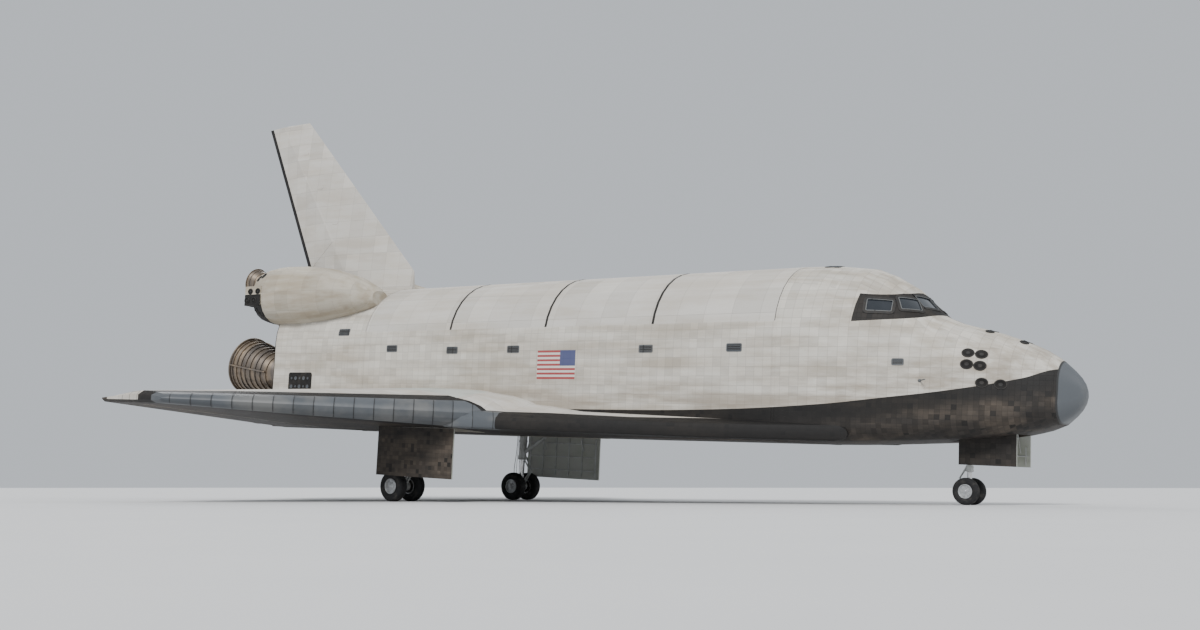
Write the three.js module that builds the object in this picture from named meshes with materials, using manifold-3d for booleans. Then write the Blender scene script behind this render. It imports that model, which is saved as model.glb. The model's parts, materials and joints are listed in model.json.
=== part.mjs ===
// A winged space orbiter at full size, parked on its landing gear.
// Millimetres, +X towards the nose, +Y to port, +Z up, origin on the ground under the middle of its outline.
// The airframe is drawn level: stations are counted aft from the nose tip, along -X,
// and heights from the flat belly. It is then pitched nose down, as it stands on its gear.
import * as THREE from 'three';
import { mergeVertices } from 'three/addons/utils/BufferGeometryUtils.js';
import Module from 'manifold-3d';

const wasm = await Module();
wasm.setup();

const radians = THREE.MathUtils.degToRad;

// Driving dimensions of the whole vehicle
const parkedPitch = radians(3); // nose down
const bellyHeightAtNose = 1373; // height of the belly line above the ground at station 0
const seat = 0.3; // gap between pieces that touch
const swing = 10; // gap round a piece that moves

// Stations where the fuselage is split, as the real structure is
const noseCapEnd = 660;
const noseEnd = 3607;
const cabinEnd = 8788;
const bayEnd = 27203;
const tailEnd = 32385;

// Fuselage sections. Columns: station, half width, half width of the flat belly, belly, chine,
// shoulder, half width at the shoulder, top.
const fuselageTable = [
  [0, 0, 0, 1803, 1803, 1803, 0, 1803],
  [356, 635, 150, 1143, 1620, 1950, 580, 2489],
  [660, 914, 300, 914, 1480, 1990, 820, 2769],
  [1118, 1194, 480, 737, 1320, 2070, 1060, 3073],
  [2388, 1676, 900, 483, 1060, 2250, 1500, 3581],
  [3607, 1981, 1250, 356, 900, 2480, 1820, 3912],
  [4166, 2108, 1400, 318, 840, 2580, 1960, 4140],
  [5182, 2286, 1650, 267, 760, 2800, 2170, 5105],
  [5800, 2370, 1780, 235, 720, 2930, 2280, 5480],
  [6452, 2464, 1900, 203, 680, 3060, 2400, 5740],
  [7722, 2591, 2100, 152, 620, 3270, 2560, 5893],
  [8788, 2642, 2250, 127, 520, 3378, 2642, 5918],
  [15000, 2642, 2480, 75, 260, 3378, 2642, 5918],
  [27203, 2642, 2550, 0, 180, 3378, 2642, 5918],
  [32385, 2794, 2650, 0, 250, 3500, 2794, 6045],
];
const cornerSteps = 5; // facets of each lower corner
const crownSteps = 9; // facets of each upper quarter
const leastCorner = 60; // least radius of a lower corner

// Payload bay
const bayRadius = 2286;
const bayCentreHeight = 3378;
const sillHeight = 3886;
const doorThickness = 100;
const doorHinge = { y: 2650, z: sillHeight };

// Crew cabin
const cabinWall = 100;
const glassThickness = 40;
const floorHeight = 3880;
const hatch = { station: 6200, height: 2540, radius: 508, tilt: 0.14, depth: 60, land: 45 };
// Windshield windows of one side, seen from a point inside. Columns: turn from ahead, rise, width, height.
const windowEye = new THREE.Vector3(-6000, 0, 3900);
const windowTable = [
  [19, 25, 880, 640],
  [48, 18, 820, 620],
  [79, 14, 900, 560],
];
const roofWindow = { station: 7800, y: 460, size: 500 };

// Wing of one side. Stations of its edges are straight lines in y.
const wingTip = 11896;
const leadingEdge = (y) => 15037 + y;
const trailingEdge = (y) => 32029 - 0.17733 * (y - 2794);
const gloveRoot = { station: 6300, y: 2470 };
const crank = { station: leadingEdge(4801), y: 4801 };
const wingThickness = 0.115; // of the chord
const dihedral = Math.tan(radians(3.5));
const edgeStart = 18400; // station on the glove where the leading edge pieces begin
const edgeDepth = 430; // of the leading edge pieces, square to the edge

// Elevons, in the frame of their hinge line, which runs outboard and slightly up
const elevonHinge = { station: 29235, y: 2997, height: 430, rise: radians(2.04), length: 8159 };
const elevonRadius = (along) => 380 - 0.0255 * along;
// Columns: name, inboard end, outboard end along the hinge line.
const elevonTable = [
  ['elevon_inboard', 0, 4246],
  ['elevon_outboard', 4286, 8159],
];
const elevonBearings = [[700, 3500], [5000, 7500]]; // along the hinge line, of each elevon
const wingLip = 0.52; // how far the fixed skin stops ahead of the hinge, of its radius

// Fin and rudder
const finRoot = { height: 5918, leading: 26467, chord: 6820 };
const finTip = { height: 13945, leading: 34494, chord: 2756 };
const finHalfThickness = 0.0525; // of the chord, at the hinge
const hingeFraction = 0.6;
const rudderSweep = Math.atan((36148 - 30559) / (13945 - 5918));
const rudderFoot = { station: 32148, height: 8200 };
const rudderTop = 13900;
const rudderLength = (rudderTop - rudderFoot.height) / Math.cos(rudderSweep);
const rudderRadius = (along) => 297 - 0.02174 * along;
const postDepth = 110; // from the hinge line back to the brake panels
const panelGap = 12;
const rudderBearings = [1200, 5200]; // along the hinge line

// Body flap
const flap = { hinge: 32918, height: 340, radius: 260, half: 3048, end: 34976, endHeight: 330, endThickness: 60 };

// Pads on the belly
const padStand = 12;
const forePad = { station: 3861, y: 0, radius: 180, depth: 60 };
const aftPad = { station: 27457, y: 2451, radius: 92, depth: 120 };

// Main nozzles. Columns: name, gimbal station, y, height, degrees up, degrees outboard, collar start,
// collar end, collar radii.
const nozzleTable = [
  ['main_nozzle_upper', 30709, 0, 4470, 16, 0, 1700, 2200, 980, 800],
  ['main_nozzle_left', 31293, 1346, 1920, 10, 3.5, 1070, 1700, 1050, 660],
  ['main_nozzle_right', 31293, -1346, 1920, 10, -3.5, 1070, 1700, 1050, 660],
];
const mainBell = { start: 1118, length: 3149, throat: 140, exit: 1143, wall: 50 };
const podBell = { start: 500, length: 1456, throat: 60, exit: 560, wall: 25 };
const podGimbal = { station: 32563, y: 2235, height: 5715, up: 15.8, out: 6.5 };

// Engine pods. Columns: station, centre y, centre height, half width, half height.
const podTable = [
  [27215, 1900, 5330, 420, 300],
  [27600, 1960, 5380, 680, 520],
  [28400, 2050, 5440, 930, 830],
  [29700, 2120, 5500, 1130, 1120],
  [31200, 2160, 5520, 1230, 1270],
  [32400, 2160, 5540, 1230, 1290],
  [33200, 2150, 5560, 1150, 1190],
  [33630, 2140, 5560, 1060, 1090],
];

// Landing gear
const mainWell = { front: 20422, back: 24232, inner: 2743, outer: 4369, ceiling: 1150 };
const mainAxle = { station: 23774, y: 3454, halfTrack: 470, radius: 565, axle: 100 };
const noseWell = { front: 1820, back: 3540, half: 610, ceiling: 1750 };
const noseAxle = { station: 3440, y: 0, halfTrack: 285, radius: 406.5, axle: 58 };
const wheelSteps = 24; // facets round a rim and its tyre
const boreSteps = 32; // facets round an axle bore
const mainDoorDrop = 1780;
const noseDoorDrop = 720;
const doorPlate = 55;

// Finishes. Columns: colour, roughness, metalness.
const finishes = {
  whiteTile: ['#dcdad3', 0.75, 0],
  blanket: ['#d9d7d0', 0.9, 0],
  blackTile: ['#2b2825', 0.7, 0],
  edge: ['#6d7073', 0.6, 0],
  glass: ['#0d1013', 0.1, 0],
  interior: ['#b9b7ac', 0.7, 0],
  radiator: ['#c9ccd0', 0.25, 0.9],
  nozzle: ['#5b5753', 0.45, 0.9],
  metal: ['#a9adb0', 0.35, 0.9],
  tyre: ['#1b1b1c', 0.9, 0],
};

// Solids

// A closed geometry as a solid, its faces turned outwards.
function solidOf(geometry) {
  const bare = geometry.index ? geometry.toNonIndexed() : geometry.clone();
  bare.deleteAttribute('normal');
  bare.deleteAttribute('uv');
  const merged = mergeVertices(bare, 1e-3);
  const corners = merged.index.array;
  const kept = [];
  for (let i = 0; i < corners.length; i += 3) {
    const [a, b, c] = corners.slice(i, i + 3);
    if (a !== b && b !== c && c !== a) kept.push(a, b, c);
  }
  const made = meshed(merged.attributes.position.array, kept);
  return made.volume() < 0 ? meshed(merged.attributes.position.array, kept.reverse()) : made;
}

function meshed(vertProperties, corners) {
  return new wasm.Manifold(
    new wasm.Mesh({ numProp: 3, vertProperties, triVerts: new Uint32Array(corners) })
  );
}

function geometryOf(solid) {
  const mesh = solid.getMesh();
  const geometry = new THREE.BufferGeometry();
  geometry.setAttribute('position', new THREE.BufferAttribute(mesh.vertProperties, 3));
  geometry.setIndex(new THREE.BufferAttribute(mesh.triVerts, 1));
  return geometry;
}

const joined = (first, ...rest) => rest.reduce((sum, solid) => sum.add(solid), first);
const cut = (first, ...tools) => tools.reduce((left, tool) => left.subtract(tool), first);
const common = (first, ...rest) => rest.reduce((left, solid) => left.intersect(solid), first);
const placed = (solid, matrix) => solidOf(geometryOf(solid).applyMatrix4(matrix));
const mirrored = (solid) => placed(solid, new THREE.Matrix4().makeScale(1, -1, 1));

// A solid through rings of equally many points, with flat ends. The second half of a ring is split
// the other way, so that a mirrored ring gives a mirrored solid.
function loft(rings) {
  const count = rings[0].length;
  const points = rings.flat();
  const corners = [];
  for (let ring = 0; ring + 1 < rings.length; ring++) {
    for (let i = 0; i < count; i++) {
      const here = ring * count + i;
      const next = ring * count + ((i + 1) % count);
      if (2 * i < count - 1) corners.push(here, next, next + count, here, next + count, here + count);
      else corners.push(here, next, here + count, next, next + count, here + count);
    }
  }
  const last = (rings.length - 1) * count;
  for (const [a, b, c] of capOf(rings[0])) corners.push(a, c, b);
  for (const [a, b, c] of capOf(rings[rings.length - 1])) corners.push(last + a, last + b, last + c);
  const geometry = new THREE.BufferGeometry().setFromPoints(points);
  geometry.setIndex(corners);
  return solidOf(geometry);
}

// The triangles of a flat ring, turned the way the ring runs.
function capOf(ring) {
  const normal = new THREE.Vector3();
  ring.forEach((point, i) => normal.add(point.clone().cross(ring[(i + 1) % ring.length])));
  const flat = ring.map((point) => {
    if (Math.abs(normal.x) > Math.abs(normal.y) && Math.abs(normal.x) > Math.abs(normal.z)) {
      return new THREE.Vector2(point.y, point.z);
    }
    if (Math.abs(normal.y) > Math.abs(normal.z)) return new THREE.Vector2(point.z, point.x);
    return new THREE.Vector2(point.x, point.y);
  });
  const faces = THREE.ShapeUtils.triangulateShape(flat, []);
  const [a, b, c] = faces[0].map((i) => flat[i]);
  const turn = Math.sign(b.clone().sub(a).cross(c.clone().sub(a)));
  return turn === Math.sign(THREE.ShapeUtils.area(flat)) ? faces : faces.map(([p, q, r]) => [p, r, q]);
}

// A box between stations, sides and heights.
function block(front, back, right, left, bottom, top) {
  const box = new THREE.BoxGeometry(back - front, left - right, top - bottom);
  return solidOf(box.translate(-(front + back) / 2, (left + right) / 2, (bottom + top) / 2));
}

// An upright prism over an outline of [x, y] points.
function prism(outline, bottom, top) {
  const shape = new THREE.Shape(outline.map(([x, y]) => new THREE.Vector2(x, y)));
  const body = new THREE.ExtrudeGeometry(shape, { depth: top - bottom, bevelEnabled: false });
  return solidOf(body.translate(0, 0, bottom));
}

// A solid of revolution of [radius, distance] points, along a direction from a point.
function turned(profile, steps, from = new THREE.Vector3(), direction = new THREE.Vector3(0, 1, 0)) {
  const points = profile.map(([radius, along]) => new THREE.Vector2(radius, along));
  const turn = new THREE.Quaternion().setFromUnitVectors(new THREE.Vector3(0, 1, 0), direction);
  const body = new THREE.LatheGeometry(points, steps).applyQuaternion(turn);
  return solidOf(body.translate(from.x, from.y, from.z));
}

// A round bar between two points.
function rod(from, to, radius, steps = 16) {
  const direction = to.clone().sub(from);
  const length = direction.length();
  return turned([[0, 0], [radius, 0], [radius, length], [0, length]], steps, from, direction.normalize());
}

// A point by station, side and height.
const at = (station, y, height) => new THREE.Vector3(-station, y, height);

// Fuselage shape

// The table's row at a station. The rows are joined by lines over the root of the station,
// which rounds the nose.
function fuselageRow(station) {
  let next = fuselageTable.findIndex((row) => row[0] >= station);
  if (next < 1) next = next < 0 ? fuselageTable.length - 1 : 1;
  const before = fuselageTable[next - 1];
  const after = fuselageTable[next];
  const root = Math.sqrt;
  const share = (root(station) - root(before[0])) / (root(after[0]) - root(before[0]));
  return before.map((value, i) => value + share * (after[i] - value));
}

// The closed outline at a station, moved outwards by grow.
function fuselageRing(station, grow = 0) {
  const row = fuselageRow(Math.min(station, tailEnd));
  const [, half, flat, belly, chine, shoulder, shoulderHalf, top] = row;
  const side = [];
  const cornerStart = Math.min(flat, half + grow - leastCorner);
  const cornerEnd = Math.max(chine, belly - grow + leastCorner);
  for (let i = 0; i <= cornerSteps; i++) {
    const angle = ((i / cornerSteps) * Math.PI) / 2;
    const y = cornerStart + (half + grow - cornerStart) * Math.sin(angle);
    side.push(at(station, y, cornerEnd - (cornerEnd - belly + grow) * Math.cos(angle)));
  }
  for (let i = 0; i < crownSteps; i++) {
    const angle = ((i / crownSteps) * Math.PI) / 2;
    const y = (shoulderHalf + grow) * Math.cos(angle);
    side.push(at(station, y, shoulder + (top + grow - shoulder) * Math.sin(angle)));
  }
  const other = side.map((point) => point.clone().setY(-point.y)).reverse();
  return [...side, at(station, 0, top + grow), ...other];
}

const hull = (stations, grow = 0) => loft(stations.map((station) => fuselageRing(station, grow)));

// A flat round pad on the belly, where the vehicle is held from below.
function attachPad({ station, y, radius, depth }, side, grow) {
  const belly = bellyAt(station);
  const low = at(station, side * y, belly - padStand);
  return rod(low, at(station, side * y, belly + depth + grow), radius + grow, 24);
}

const noseStations = [noseCapEnd + seat, 860, 1118, 1450, noseWell.front, 2388, 3000, noseWell.back, noseEnd];
const cabinStations = [noseEnd + seat, 4166, 4650, 5182, 5800, 6452, 7100, 7722, cabinEnd];
const bayStations = [cabinEnd + seat, 15000, bayEnd];
const tailStations = [bayEnd + seat, tailEnd];
const capStations = [20, 80, 190, 356, noseCapEnd];
const allStations = [...capStations, ...noseStations.slice(1), ...cabinStations.slice(1), 15000, bayEnd,
  tailEnd + seat];
const wholeHull = hull(allStations, seat);
const bellyAt = (station) => fuselageRow(Math.min(station, tailEnd))[3];

// Wing shape

const lowerSurface = (station, y) => bellyAt(station) + dihedral * (y - 2500);

// Heights of the airfoil's two faces at a chord fraction, for a thickness.
const noseShare = 0.38;
const upperFace = (share, thickness) => {
  if (share < 0.38) {
    const round = Math.sqrt(1 - ((0.38 - share) / 0.38) ** 2);
    return thickness * (noseShare + (1 - noseShare) * round);
  }
  return thickness - (thickness - 45) * ((share - 0.38) / 0.62) ** 1.6;
};
const lowerFace = (share, thickness) => {
  if (share >= 0.08) return 0;
  return thickness * noseShare * (1 - Math.sqrt(1 - ((0.08 - share) / 0.08) ** 2));
};
const upperShares = [0, 0.004, 0.018, 0.05, 0.11, 0.22, 0.38, 0.52, 0.66, 0.8, 0.9, 1];
const lowerShares = [1, 0.75, 0.5, 0.25, 0.08, 0.05, 0.022, 0.006];

function wingRing(y, thinned = 1) {
  const front = leadingEdge(y);
  const chord = trailingEdge(y) - front;
  const thickness = wingThickness * chord * thinned;
  const raised = (wingThickness * chord - thickness) * noseShare;
  const face = (share, height) => {
    const station = front + share * chord;
    return at(station, y, lowerSurface(station, y) + raised + height);
  };
  const upper = upperShares.map((share) => face(share, upperFace(share, thickness)));
  return [...upper, ...lowerShares.map((share) => face(share, lowerFace(share, thickness)))];
}

// The glove ahead of the wing, thin at its edge and ramped up to the wing's top.
function gloveRing(y) {
  const front = gloveRoot.station + gloveSlope * Math.max(0, y - gloveRoot.y);
  const back = 23300;
  const thin = 500 - 0.035 * (y - gloveRoot.y);
  const chord = trailingEdge(y) - leadingEdge(y);
  const high = 0.93 * upperFace((back - leadingEdge(y)) / chord, wingThickness * chord);
  const low = 1.05 * thin;
  const middle = front + 0.55 * (back - front);
  // Columns: station, height over the lower surface.
  const profile = [
    [front, 0.4 * thin],
    [front + 0.12 * thin, 0.68 * thin],
    [front + 0.6 * thin, 0.92 * thin],
    [front + 1.6 * thin, low],
    [middle, low + 0.3 * (high - low)],
    [back, high],
    [back, 0],
    [middle, 0],
    [front + 0.9 * thin, 0],
    [front + 0.35 * thin, 0.08 * thin],
    [front + 0.08 * thin, 0.22 * thin],
  ];
  return profile.map(([station, height]) => at(station, y, lowerSurface(station, y) + height));
}

const gloveSlope = (crank.station - gloveRoot.station) / (crank.y - gloveRoot.y);

// The strip along the leading edge, from the glove's end to the tip, as an upright prism moved out by grow.
function edgeStrip(grow) {
  const depth = edgeDepth + grow;
  const station = edgeStart - 2 * grow;
  const start = { station, y: gloveRoot.y + (station - gloveRoot.station) / gloveSlope };
  const tip = { station: leadingEdge(wingTip), y: wingTip };
  const back = (from, to, share) => {
    const run = new THREE.Vector2(to.station - from.station, to.y - from.y).normalize();
    return [from.station + run.y * depth + run.x * share, from.y - run.x * depth + run.y * share];
  };
  const gloveTurn = Math.atan2(crank.y - start.y, crank.station - start.station);
  const turn = Math.PI / 4 - gloveTurn;
  const corner = back(crank, tip, -depth * Math.tan(turn / 2));
  const beyond = 2 * edgeDepth;
  const outline = [
    back(start, crank, 0),
    corner,
    back(tip, { station: tip.station + 1, y: tip.y + 1 }, beyond),
    [tip.station - beyond, tip.y + beyond],
    [crank.station - 2 * beyond, crank.y + beyond],
    [start.station, start.y + beyond],
  ];
  return prism(outline.map(([station, y]) => [-station, y]), -1500, 3500);
}

// Frames of the hinge lines

const elevonFrame = new THREE.Matrix4()
  .makeRotationX(elevonHinge.rise)
  .setPosition(-elevonHinge.station, elevonHinge.y, elevonHinge.height);
const rudderFrame = new THREE.Matrix4()
  .makeRotationY(-rudderSweep)
  .setPosition(-rudderFoot.station, 0, rudderFoot.height);

// A half round nose along a hinge line. Its sections are made at two places along the line.
const noseSteps = 10;
function hingeNose(radiusAt, from, to, grow, pointAt) {
  const ring = (along) => {
    const radius = radiusAt(along) + grow;
    const points = [];
    for (let i = 0; i <= noseSteps; i++) {
      const angle = (i / noseSteps - 0.5) * Math.PI;
      points.push(pointAt(radius * Math.cos(angle), radius * Math.sin(angle), along));
    }
    return [...points, pointAt(-6, radius * 0.97, along), pointAt(-6, -radius * 0.97, along)];
  };
  return loft([ring(from), ring(to)]);
}
const elevonNose = (from, to, grow) =>
  placed(hingeNose(elevonRadius, from, to, grow, (x, z, y) => new THREE.Vector3(x, y, z)), elevonFrame);
const rudderNose = (from, to, grow) =>
  placed(hingeNose(rudderRadius, from, to, grow, (x, y, z) => new THREE.Vector3(x, y, z)), rudderFrame);

// Bearings of a hinge line along Y. An arm of the fixed piece reaches through a slot in the moving piece's
// round nose and holds a pin that crosses the slot. Their sizes are shares of the nose's radius.
const bearingSteps = 12;
function bearing(radius, along, turnTo) {
  const half = 45;
  const [knuckle, pin, bar] = [0.34 * radius, 0.15 * radius, 0.2 * radius];
  const reach = radius + swing + half;
  const wide = bar + swing;
  const turn = radians(turnTo);
  const edge = (length, sign) => [
    length * Math.cos(turn) - wide * Math.sin(turn),
    sign * (length * Math.sin(turn) + wide * Math.cos(turn)),
  ];
  const round = (over, size, steps) =>
    rod(new THREE.Vector3(0, along - over, 0), new THREE.Vector3(0, along + over, 0), size, steps);
  const slab = (outline, over) =>
    placed(prism(outline, along - over, along + over), new THREE.Matrix4().makeRotationX(-Math.PI / 2));
  const fan = [edge(0, -1), edge(reach, -1), [reach / Math.cos(turn / 2), 0], edge(reach, 1), edge(0, 1)];
  return {
    arm: joined(round(half, knuckle, bearingSteps), slab([[0, -bar], [reach, -bar], [reach, bar], [0, bar]], half)),
    bore: round(2 * half, boreRadius(pin, 2 * bearingSteps), 2 * bearingSteps),
    slot: joined(round(half + swing, knuckle + swing, bearingSteps), slab(fan, half + swing)),
    pin: round(half + 3 * swing, pin, bearingSteps),
  };
}

// Radius of a faceted bore that clears a round pin by a seat's gap.
const boreRadius = (pin, steps) => (pin + seat) / Math.cos(Math.PI / steps);

function bearings(frame, places, radiusAt, turnTo) {
  const all = places.map((along) => bearing(radiusAt(along), along, turnTo));
  const each = (key) => all.map((one) => placed(one[key], frame));
  return { arms: each('arm'), bores: each('bore'), slots: each('slot'), pins: each('pin') };
}
const holding = (fixed, { arms, bores }) => cut(joined(fixed, ...arms), ...bores);
const held = (moving, { slots, pins }) => joined(cut(moving, ...slots), ...pins);

// Nozzles

function bellProfile(bell) {
  const shares = [0.05, 0.15, 0.35, 0.65, 1];
  const inner = (share) => bell.throat + (bell.exit - bell.throat) * share ** 0.6;
  const inside = shares.map((share) => [inner(share), share * bell.length]).reverse();
  return [
    [0, 0],
    [bell.throat + bell.wall, 0],
    ...shares.map((share) => [inner(share) + bell.wall, share * bell.length]),
    ...inside,
    [0, shares[0] * bell.length],
  ];
}

// The solid that the bell's outside fills, a little larger, to cut its seat.
function bellSeat(bell) {
  const outside = bellProfile(bell).slice(1, 7);
  const last = outside[outside.length - 1];
  return [[0, -20], [outside[0][0] + seat, -20], ...outside.map(([r, a]) => [r + seat, a]), [0, last[1]]];
}

function aim(up, out) {
  const rise = radians(up);
  const turn = radians(out);
  return new THREE.Vector3(-Math.cos(rise) * Math.cos(turn), Math.sin(turn), Math.sin(rise) * Math.cos(turn));
}

const bellSteps = 24;
function bellAt(profile, bell, gimbal, direction) {
  const start = gimbal.clone().addScaledVector(direction, bell.start);
  return turned(profile, bellSteps, start, direction);
}

// The parts list: every piece is a mesh in the airframe or on one of its hinges

const group = new THREE.Group();
const airframe = new THREE.Group();
airframe.rotation.y = parkedPitch;
airframe.position.z = bellyHeightAtNose;
group.add(airframe);

function addPiece(name, solid, finish, parent = airframe) {
  const [color, roughness, metalness] = finishes[finish];
  const mesh = new THREE.Mesh(geometryOf(solid), new THREE.MeshStandardMaterial({ color, roughness, metalness }));
  mesh.geometry.computeVertexNormals();
  mesh.name = name;
  if (parent !== airframe) mesh.applyMatrix4(parent.matrix.clone().invert());
  parent.add(mesh);
}

// A hinge in the airframe: a group at its point, with its own X along its axis.
function addHinge(name, point, axis) {
  const pivot = new THREE.Group();
  pivot.name = name;
  pivot.position.copy(point);
  pivot.quaternion.setFromUnitVectors(new THREE.Vector3(1, 0, 0), axis.clone().normalize());
  pivot.updateMatrix();
  airframe.add(pivot);
  return pivot;
}

const sides = [
  { name: 'left', sign: 1, of: (solid) => solid },
  { name: 'right', sign: -1, of: mirrored },
];

// Nose
function addNose() {
  addPiece('nose_cap', hull(capStations), 'edge');
  const nose = hull(noseStations);
  const thrusterBox = (gap) => block(1500 + gap, noseEnd + 10, -2500, 2500, 2300 + gap, 4200);
  const well = block(noseWell.front, noseWell.back, -noseWell.half, noseWell.half, -500, noseWell.ceiling);
  addPiece('nose_section', cut(nose, thrusterBox(0), well), 'whiteTile');
  addPiece('forward_thruster_module', common(nose, thrusterBox(seat)), 'whiteTile');
}

// Crew section
function windowTools() {
  const tools = [];
  for (const [turn, rise, width, height] of windowTable) {
    for (const side of [1, -1]) {
      const box = new THREE.BoxGeometry(3000, width, height).translate(600 + 1500, 0, 0);
      const aimed = new THREE.Matrix4().makeRotationZ(side * radians(turn));
      aimed.multiply(new THREE.Matrix4().makeRotationY(-radians(rise)));
      tools.push(solidOf(box.applyMatrix4(aimed.setPosition(windowEye))));
    }
  }
  const half = roofWindow.size / 2;
  for (const y of [roofWindow.y, -roofWindow.y]) {
    tools.push(block(roofWindow.station - half, roofWindow.station + half, y - half, y + half, 5200, 6200));
  }
  return tools;
}

function hatchDisc(radius) {
  return rod(at(hatch.station, 2100, hatch.height), at(hatch.station, 2900, hatch.height), radius, 28);
}

function addCrewSection() {
  const outside = hull(cabinStations);
  const insideStations = cabinStations.slice(1, -1);
  const ends = [noseEnd + 2 * cabinWall, ...insideStations, cabinEnd - cabinWall];
  const inside = hull(ends, -cabinWall);
  // The upper half of the hatch closes on a land inside its hole.
  const land = common(
    cut(hull(ends, -hatch.depth - seat), hatchDisc(hatch.radius - hatch.land)),
    block(5000, 7500, 2000, 3000, hatch.height, 5000)
  );
  const hole = cut(hatchDisc(hatch.radius + swing), land);
  const shell = cut(joined(outside, attachPad(forePad, 1, 0)), inside, hole, ...windowTools());
  addPiece('forward_fuselage', shell, 'whiteTile');

  const lining = cut(hull(ends, -cabinWall - seat), hull(insideStations, -cabinWall - glassThickness));
  addPiece('windshield_glass', common(lining, block(4300, 6700, -3000, 3000, 4020, 7000)), 'glass');
  const roof = block(roofWindow.station - 400, roofWindow.station + 400, -850, 850, 5000, 7000);
  addPiece('overhead_glass', common(lining, roof), 'glass');

  const plug = cut(outside, hull(ends, -hatch.depth));
  const hatchShell = common(plug, hatchDisc(hatch.radius), block(5000, 7500, 2000, 3000, 0, 5000));
  const outer = fuselageRow(hatch.station)[1] + 12;
  const foot = at(hatch.station, outer, hatch.height - hatch.radius - 6);
  const hinge = addHinge('crew_hatch', foot, new THREE.Vector3(-1, hatch.tilt, 0));
  addPiece('crew_hatch', hatchShell, 'whiteTile', hinge);

  const room = hull(ends, -cabinWall - seat);
  const floor = cut(
    common(room, block(4700, cabinEnd - cabinWall - seat, -3000, 3000, floorHeight, floorHeight + 80)),
    block(7000, 7700, 700, 1400, 3000, 5000)
  );
  const console = block(4950, 5350, -1100, 1100, floorHeight, floorHeight + 480);
  const seats = [1, -1].flatMap((side) => [
    block(5900, 6450, side * 620 - 260, side * 620 + 260, floorHeight, floorHeight + 380),
    block(6340, 6450, side * 620 - 260, side * 620 + 260, floorHeight, floorHeight + 1150),
  ]);
  addPiece('flight_deck', joined(floor, console, ...seats), 'interior');
}

// Payload bay with its two doors
function addPayloadBay() {
  const outside = hull(bayStations);
  const round = rod(at(cabinEnd - 50, 0, bayCentreHeight), at(bayEnd + 50, 0, bayCentreHeight), bayRadius, 32);
  const walls = block(cabinEnd - 50, bayEnd + 50, -bayRadius, bayRadius, bayCentreHeight, 7000);
  const above = block(cabinEnd - 50, bayEnd + 50, -3000, 3000, sillHeight, 7000);
  const keelPad = block(17500, 18000, -250, 250, 1000, 1150);
  addPiece('mid_fuselage', joined(cut(outside, round, walls, above), keelPad), 'blackTile');

  const doorStations = [cabinEnd + swing, bayEnd - swing];
  const shell = cut(hull(doorStations), hull([cabinEnd, bayEnd], -doorThickness));
  const door = common(shell, block(cabinEnd, bayEnd, swing / 2, 3000, sillHeight + seat, 7000));
  const panelStations = [cabinEnd + 500, bayEnd - 600];
  const lining = cut(hull(panelStations, -doorThickness - seat), hull([cabinEnd, bayEnd], -doorThickness - 80));
  const panel = common(lining, block(cabinEnd, bayEnd, 160, 3000, 4250, 7000));
  for (const side of sides) {
    const name = `payload_bay_door_${side.name}`;
    const foot = at((cabinEnd + bayEnd) / 2, side.sign * doorHinge.y, doorHinge.z);
    const hinge = addHinge(name, foot, new THREE.Vector3(-side.sign, 0, 0));
    addPiece(name, side.of(door), 'blanket', hinge);
    addPiece(`radiator_${side.name}`, side.of(panel), 'radiator', hinge);
  }
}

// Tail end: aft fuselage, base, nozzles, pods
function podShape(grow) {
  const steps = 22;
  const rings = podTable.map(([station, y, height, half, rise]) => {
    const ring = [];
    for (let i = 0; i < steps; i++) {
      const angle = (i / steps) * 2 * Math.PI;
      const [c, s] = [Math.cos(angle), Math.sin(angle)];
      const swell = (value) => Math.sign(value) * Math.abs(value) ** 0.87;
      ring.push(at(station, y + (half + grow) * swell(c), height + (rise + grow) * swell(s)));
    }
    return ring;
  });
  const thrusterBox = block(32950 - grow, 33950 + grow, 2750 - grow, 3353 + grow, 5080 - grow, 5900 + grow);
  return joined(loft(rings), thrusterBox);
}

const flapLedge = (grow, bottom) =>
  block(tailEnd - 200, flap.hinge - wingLip * flap.radius + grow, -flap.half - grow, flap.half + grow,
    bottom, flap.height + flap.radius + grow);

function addTail() {
  const outside = hull(tailStations);
  const inside = hull([bayEnd + 250, tailEnd + 50], -180);
  const cove = rod(at(flap.hinge, -4000, flap.height), at(flap.hinge, 4000, flap.height), flap.radius + swing, 32);
  const pads = [1, -1].map((side) => attachPad(aftPad, side, 0));
  const shell = cut(outside, inside);
  const tail = cut(joined(shell, flapLedge(0, flap.height - flap.radius), ...pads), cove);
  addPiece('aft_fuselage', holding(tail, flapBearings()), 'whiteTile');
  addPiece('engine_block', block(30400, 32100, -1400, 1400, 180 + seat, 4300), 'metal');

  const plate = loft([tailEnd + seat, tailEnd + 75].map((station) => fuselageRing(station, -30)));
  const collars = [];
  const seats = [flapLedge(seat, -500), podShape(seat), mirrored(podShape(seat))];
  for (const [name, station, y, height, up, out, from, to, wide, narrow] of nozzleTable) {
    const gimbal = at(station, y, height);
    const direction = aim(up, out);
    const start = gimbal.clone().addScaledVector(direction, from);
    collars.push(turned([[0, 0], [wide, 0], [narrow, to - from], [0, to - from]], bellSteps, start, direction));
    seats.push(bellAt(bellSeat(mainBell), mainBell, gimbal, direction));
    addPiece(name, bellAt(bellProfile(mainBell), mainBell, gimbal, direction), 'nozzle');
  }
  const behind = block(tailEnd + seat, 35000, -3000, 3000, 0, 7000);
  addPiece('base_heat_shield', cut(common(joined(plate, ...collars), behind), ...seats), 'blackTile');
}

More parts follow.
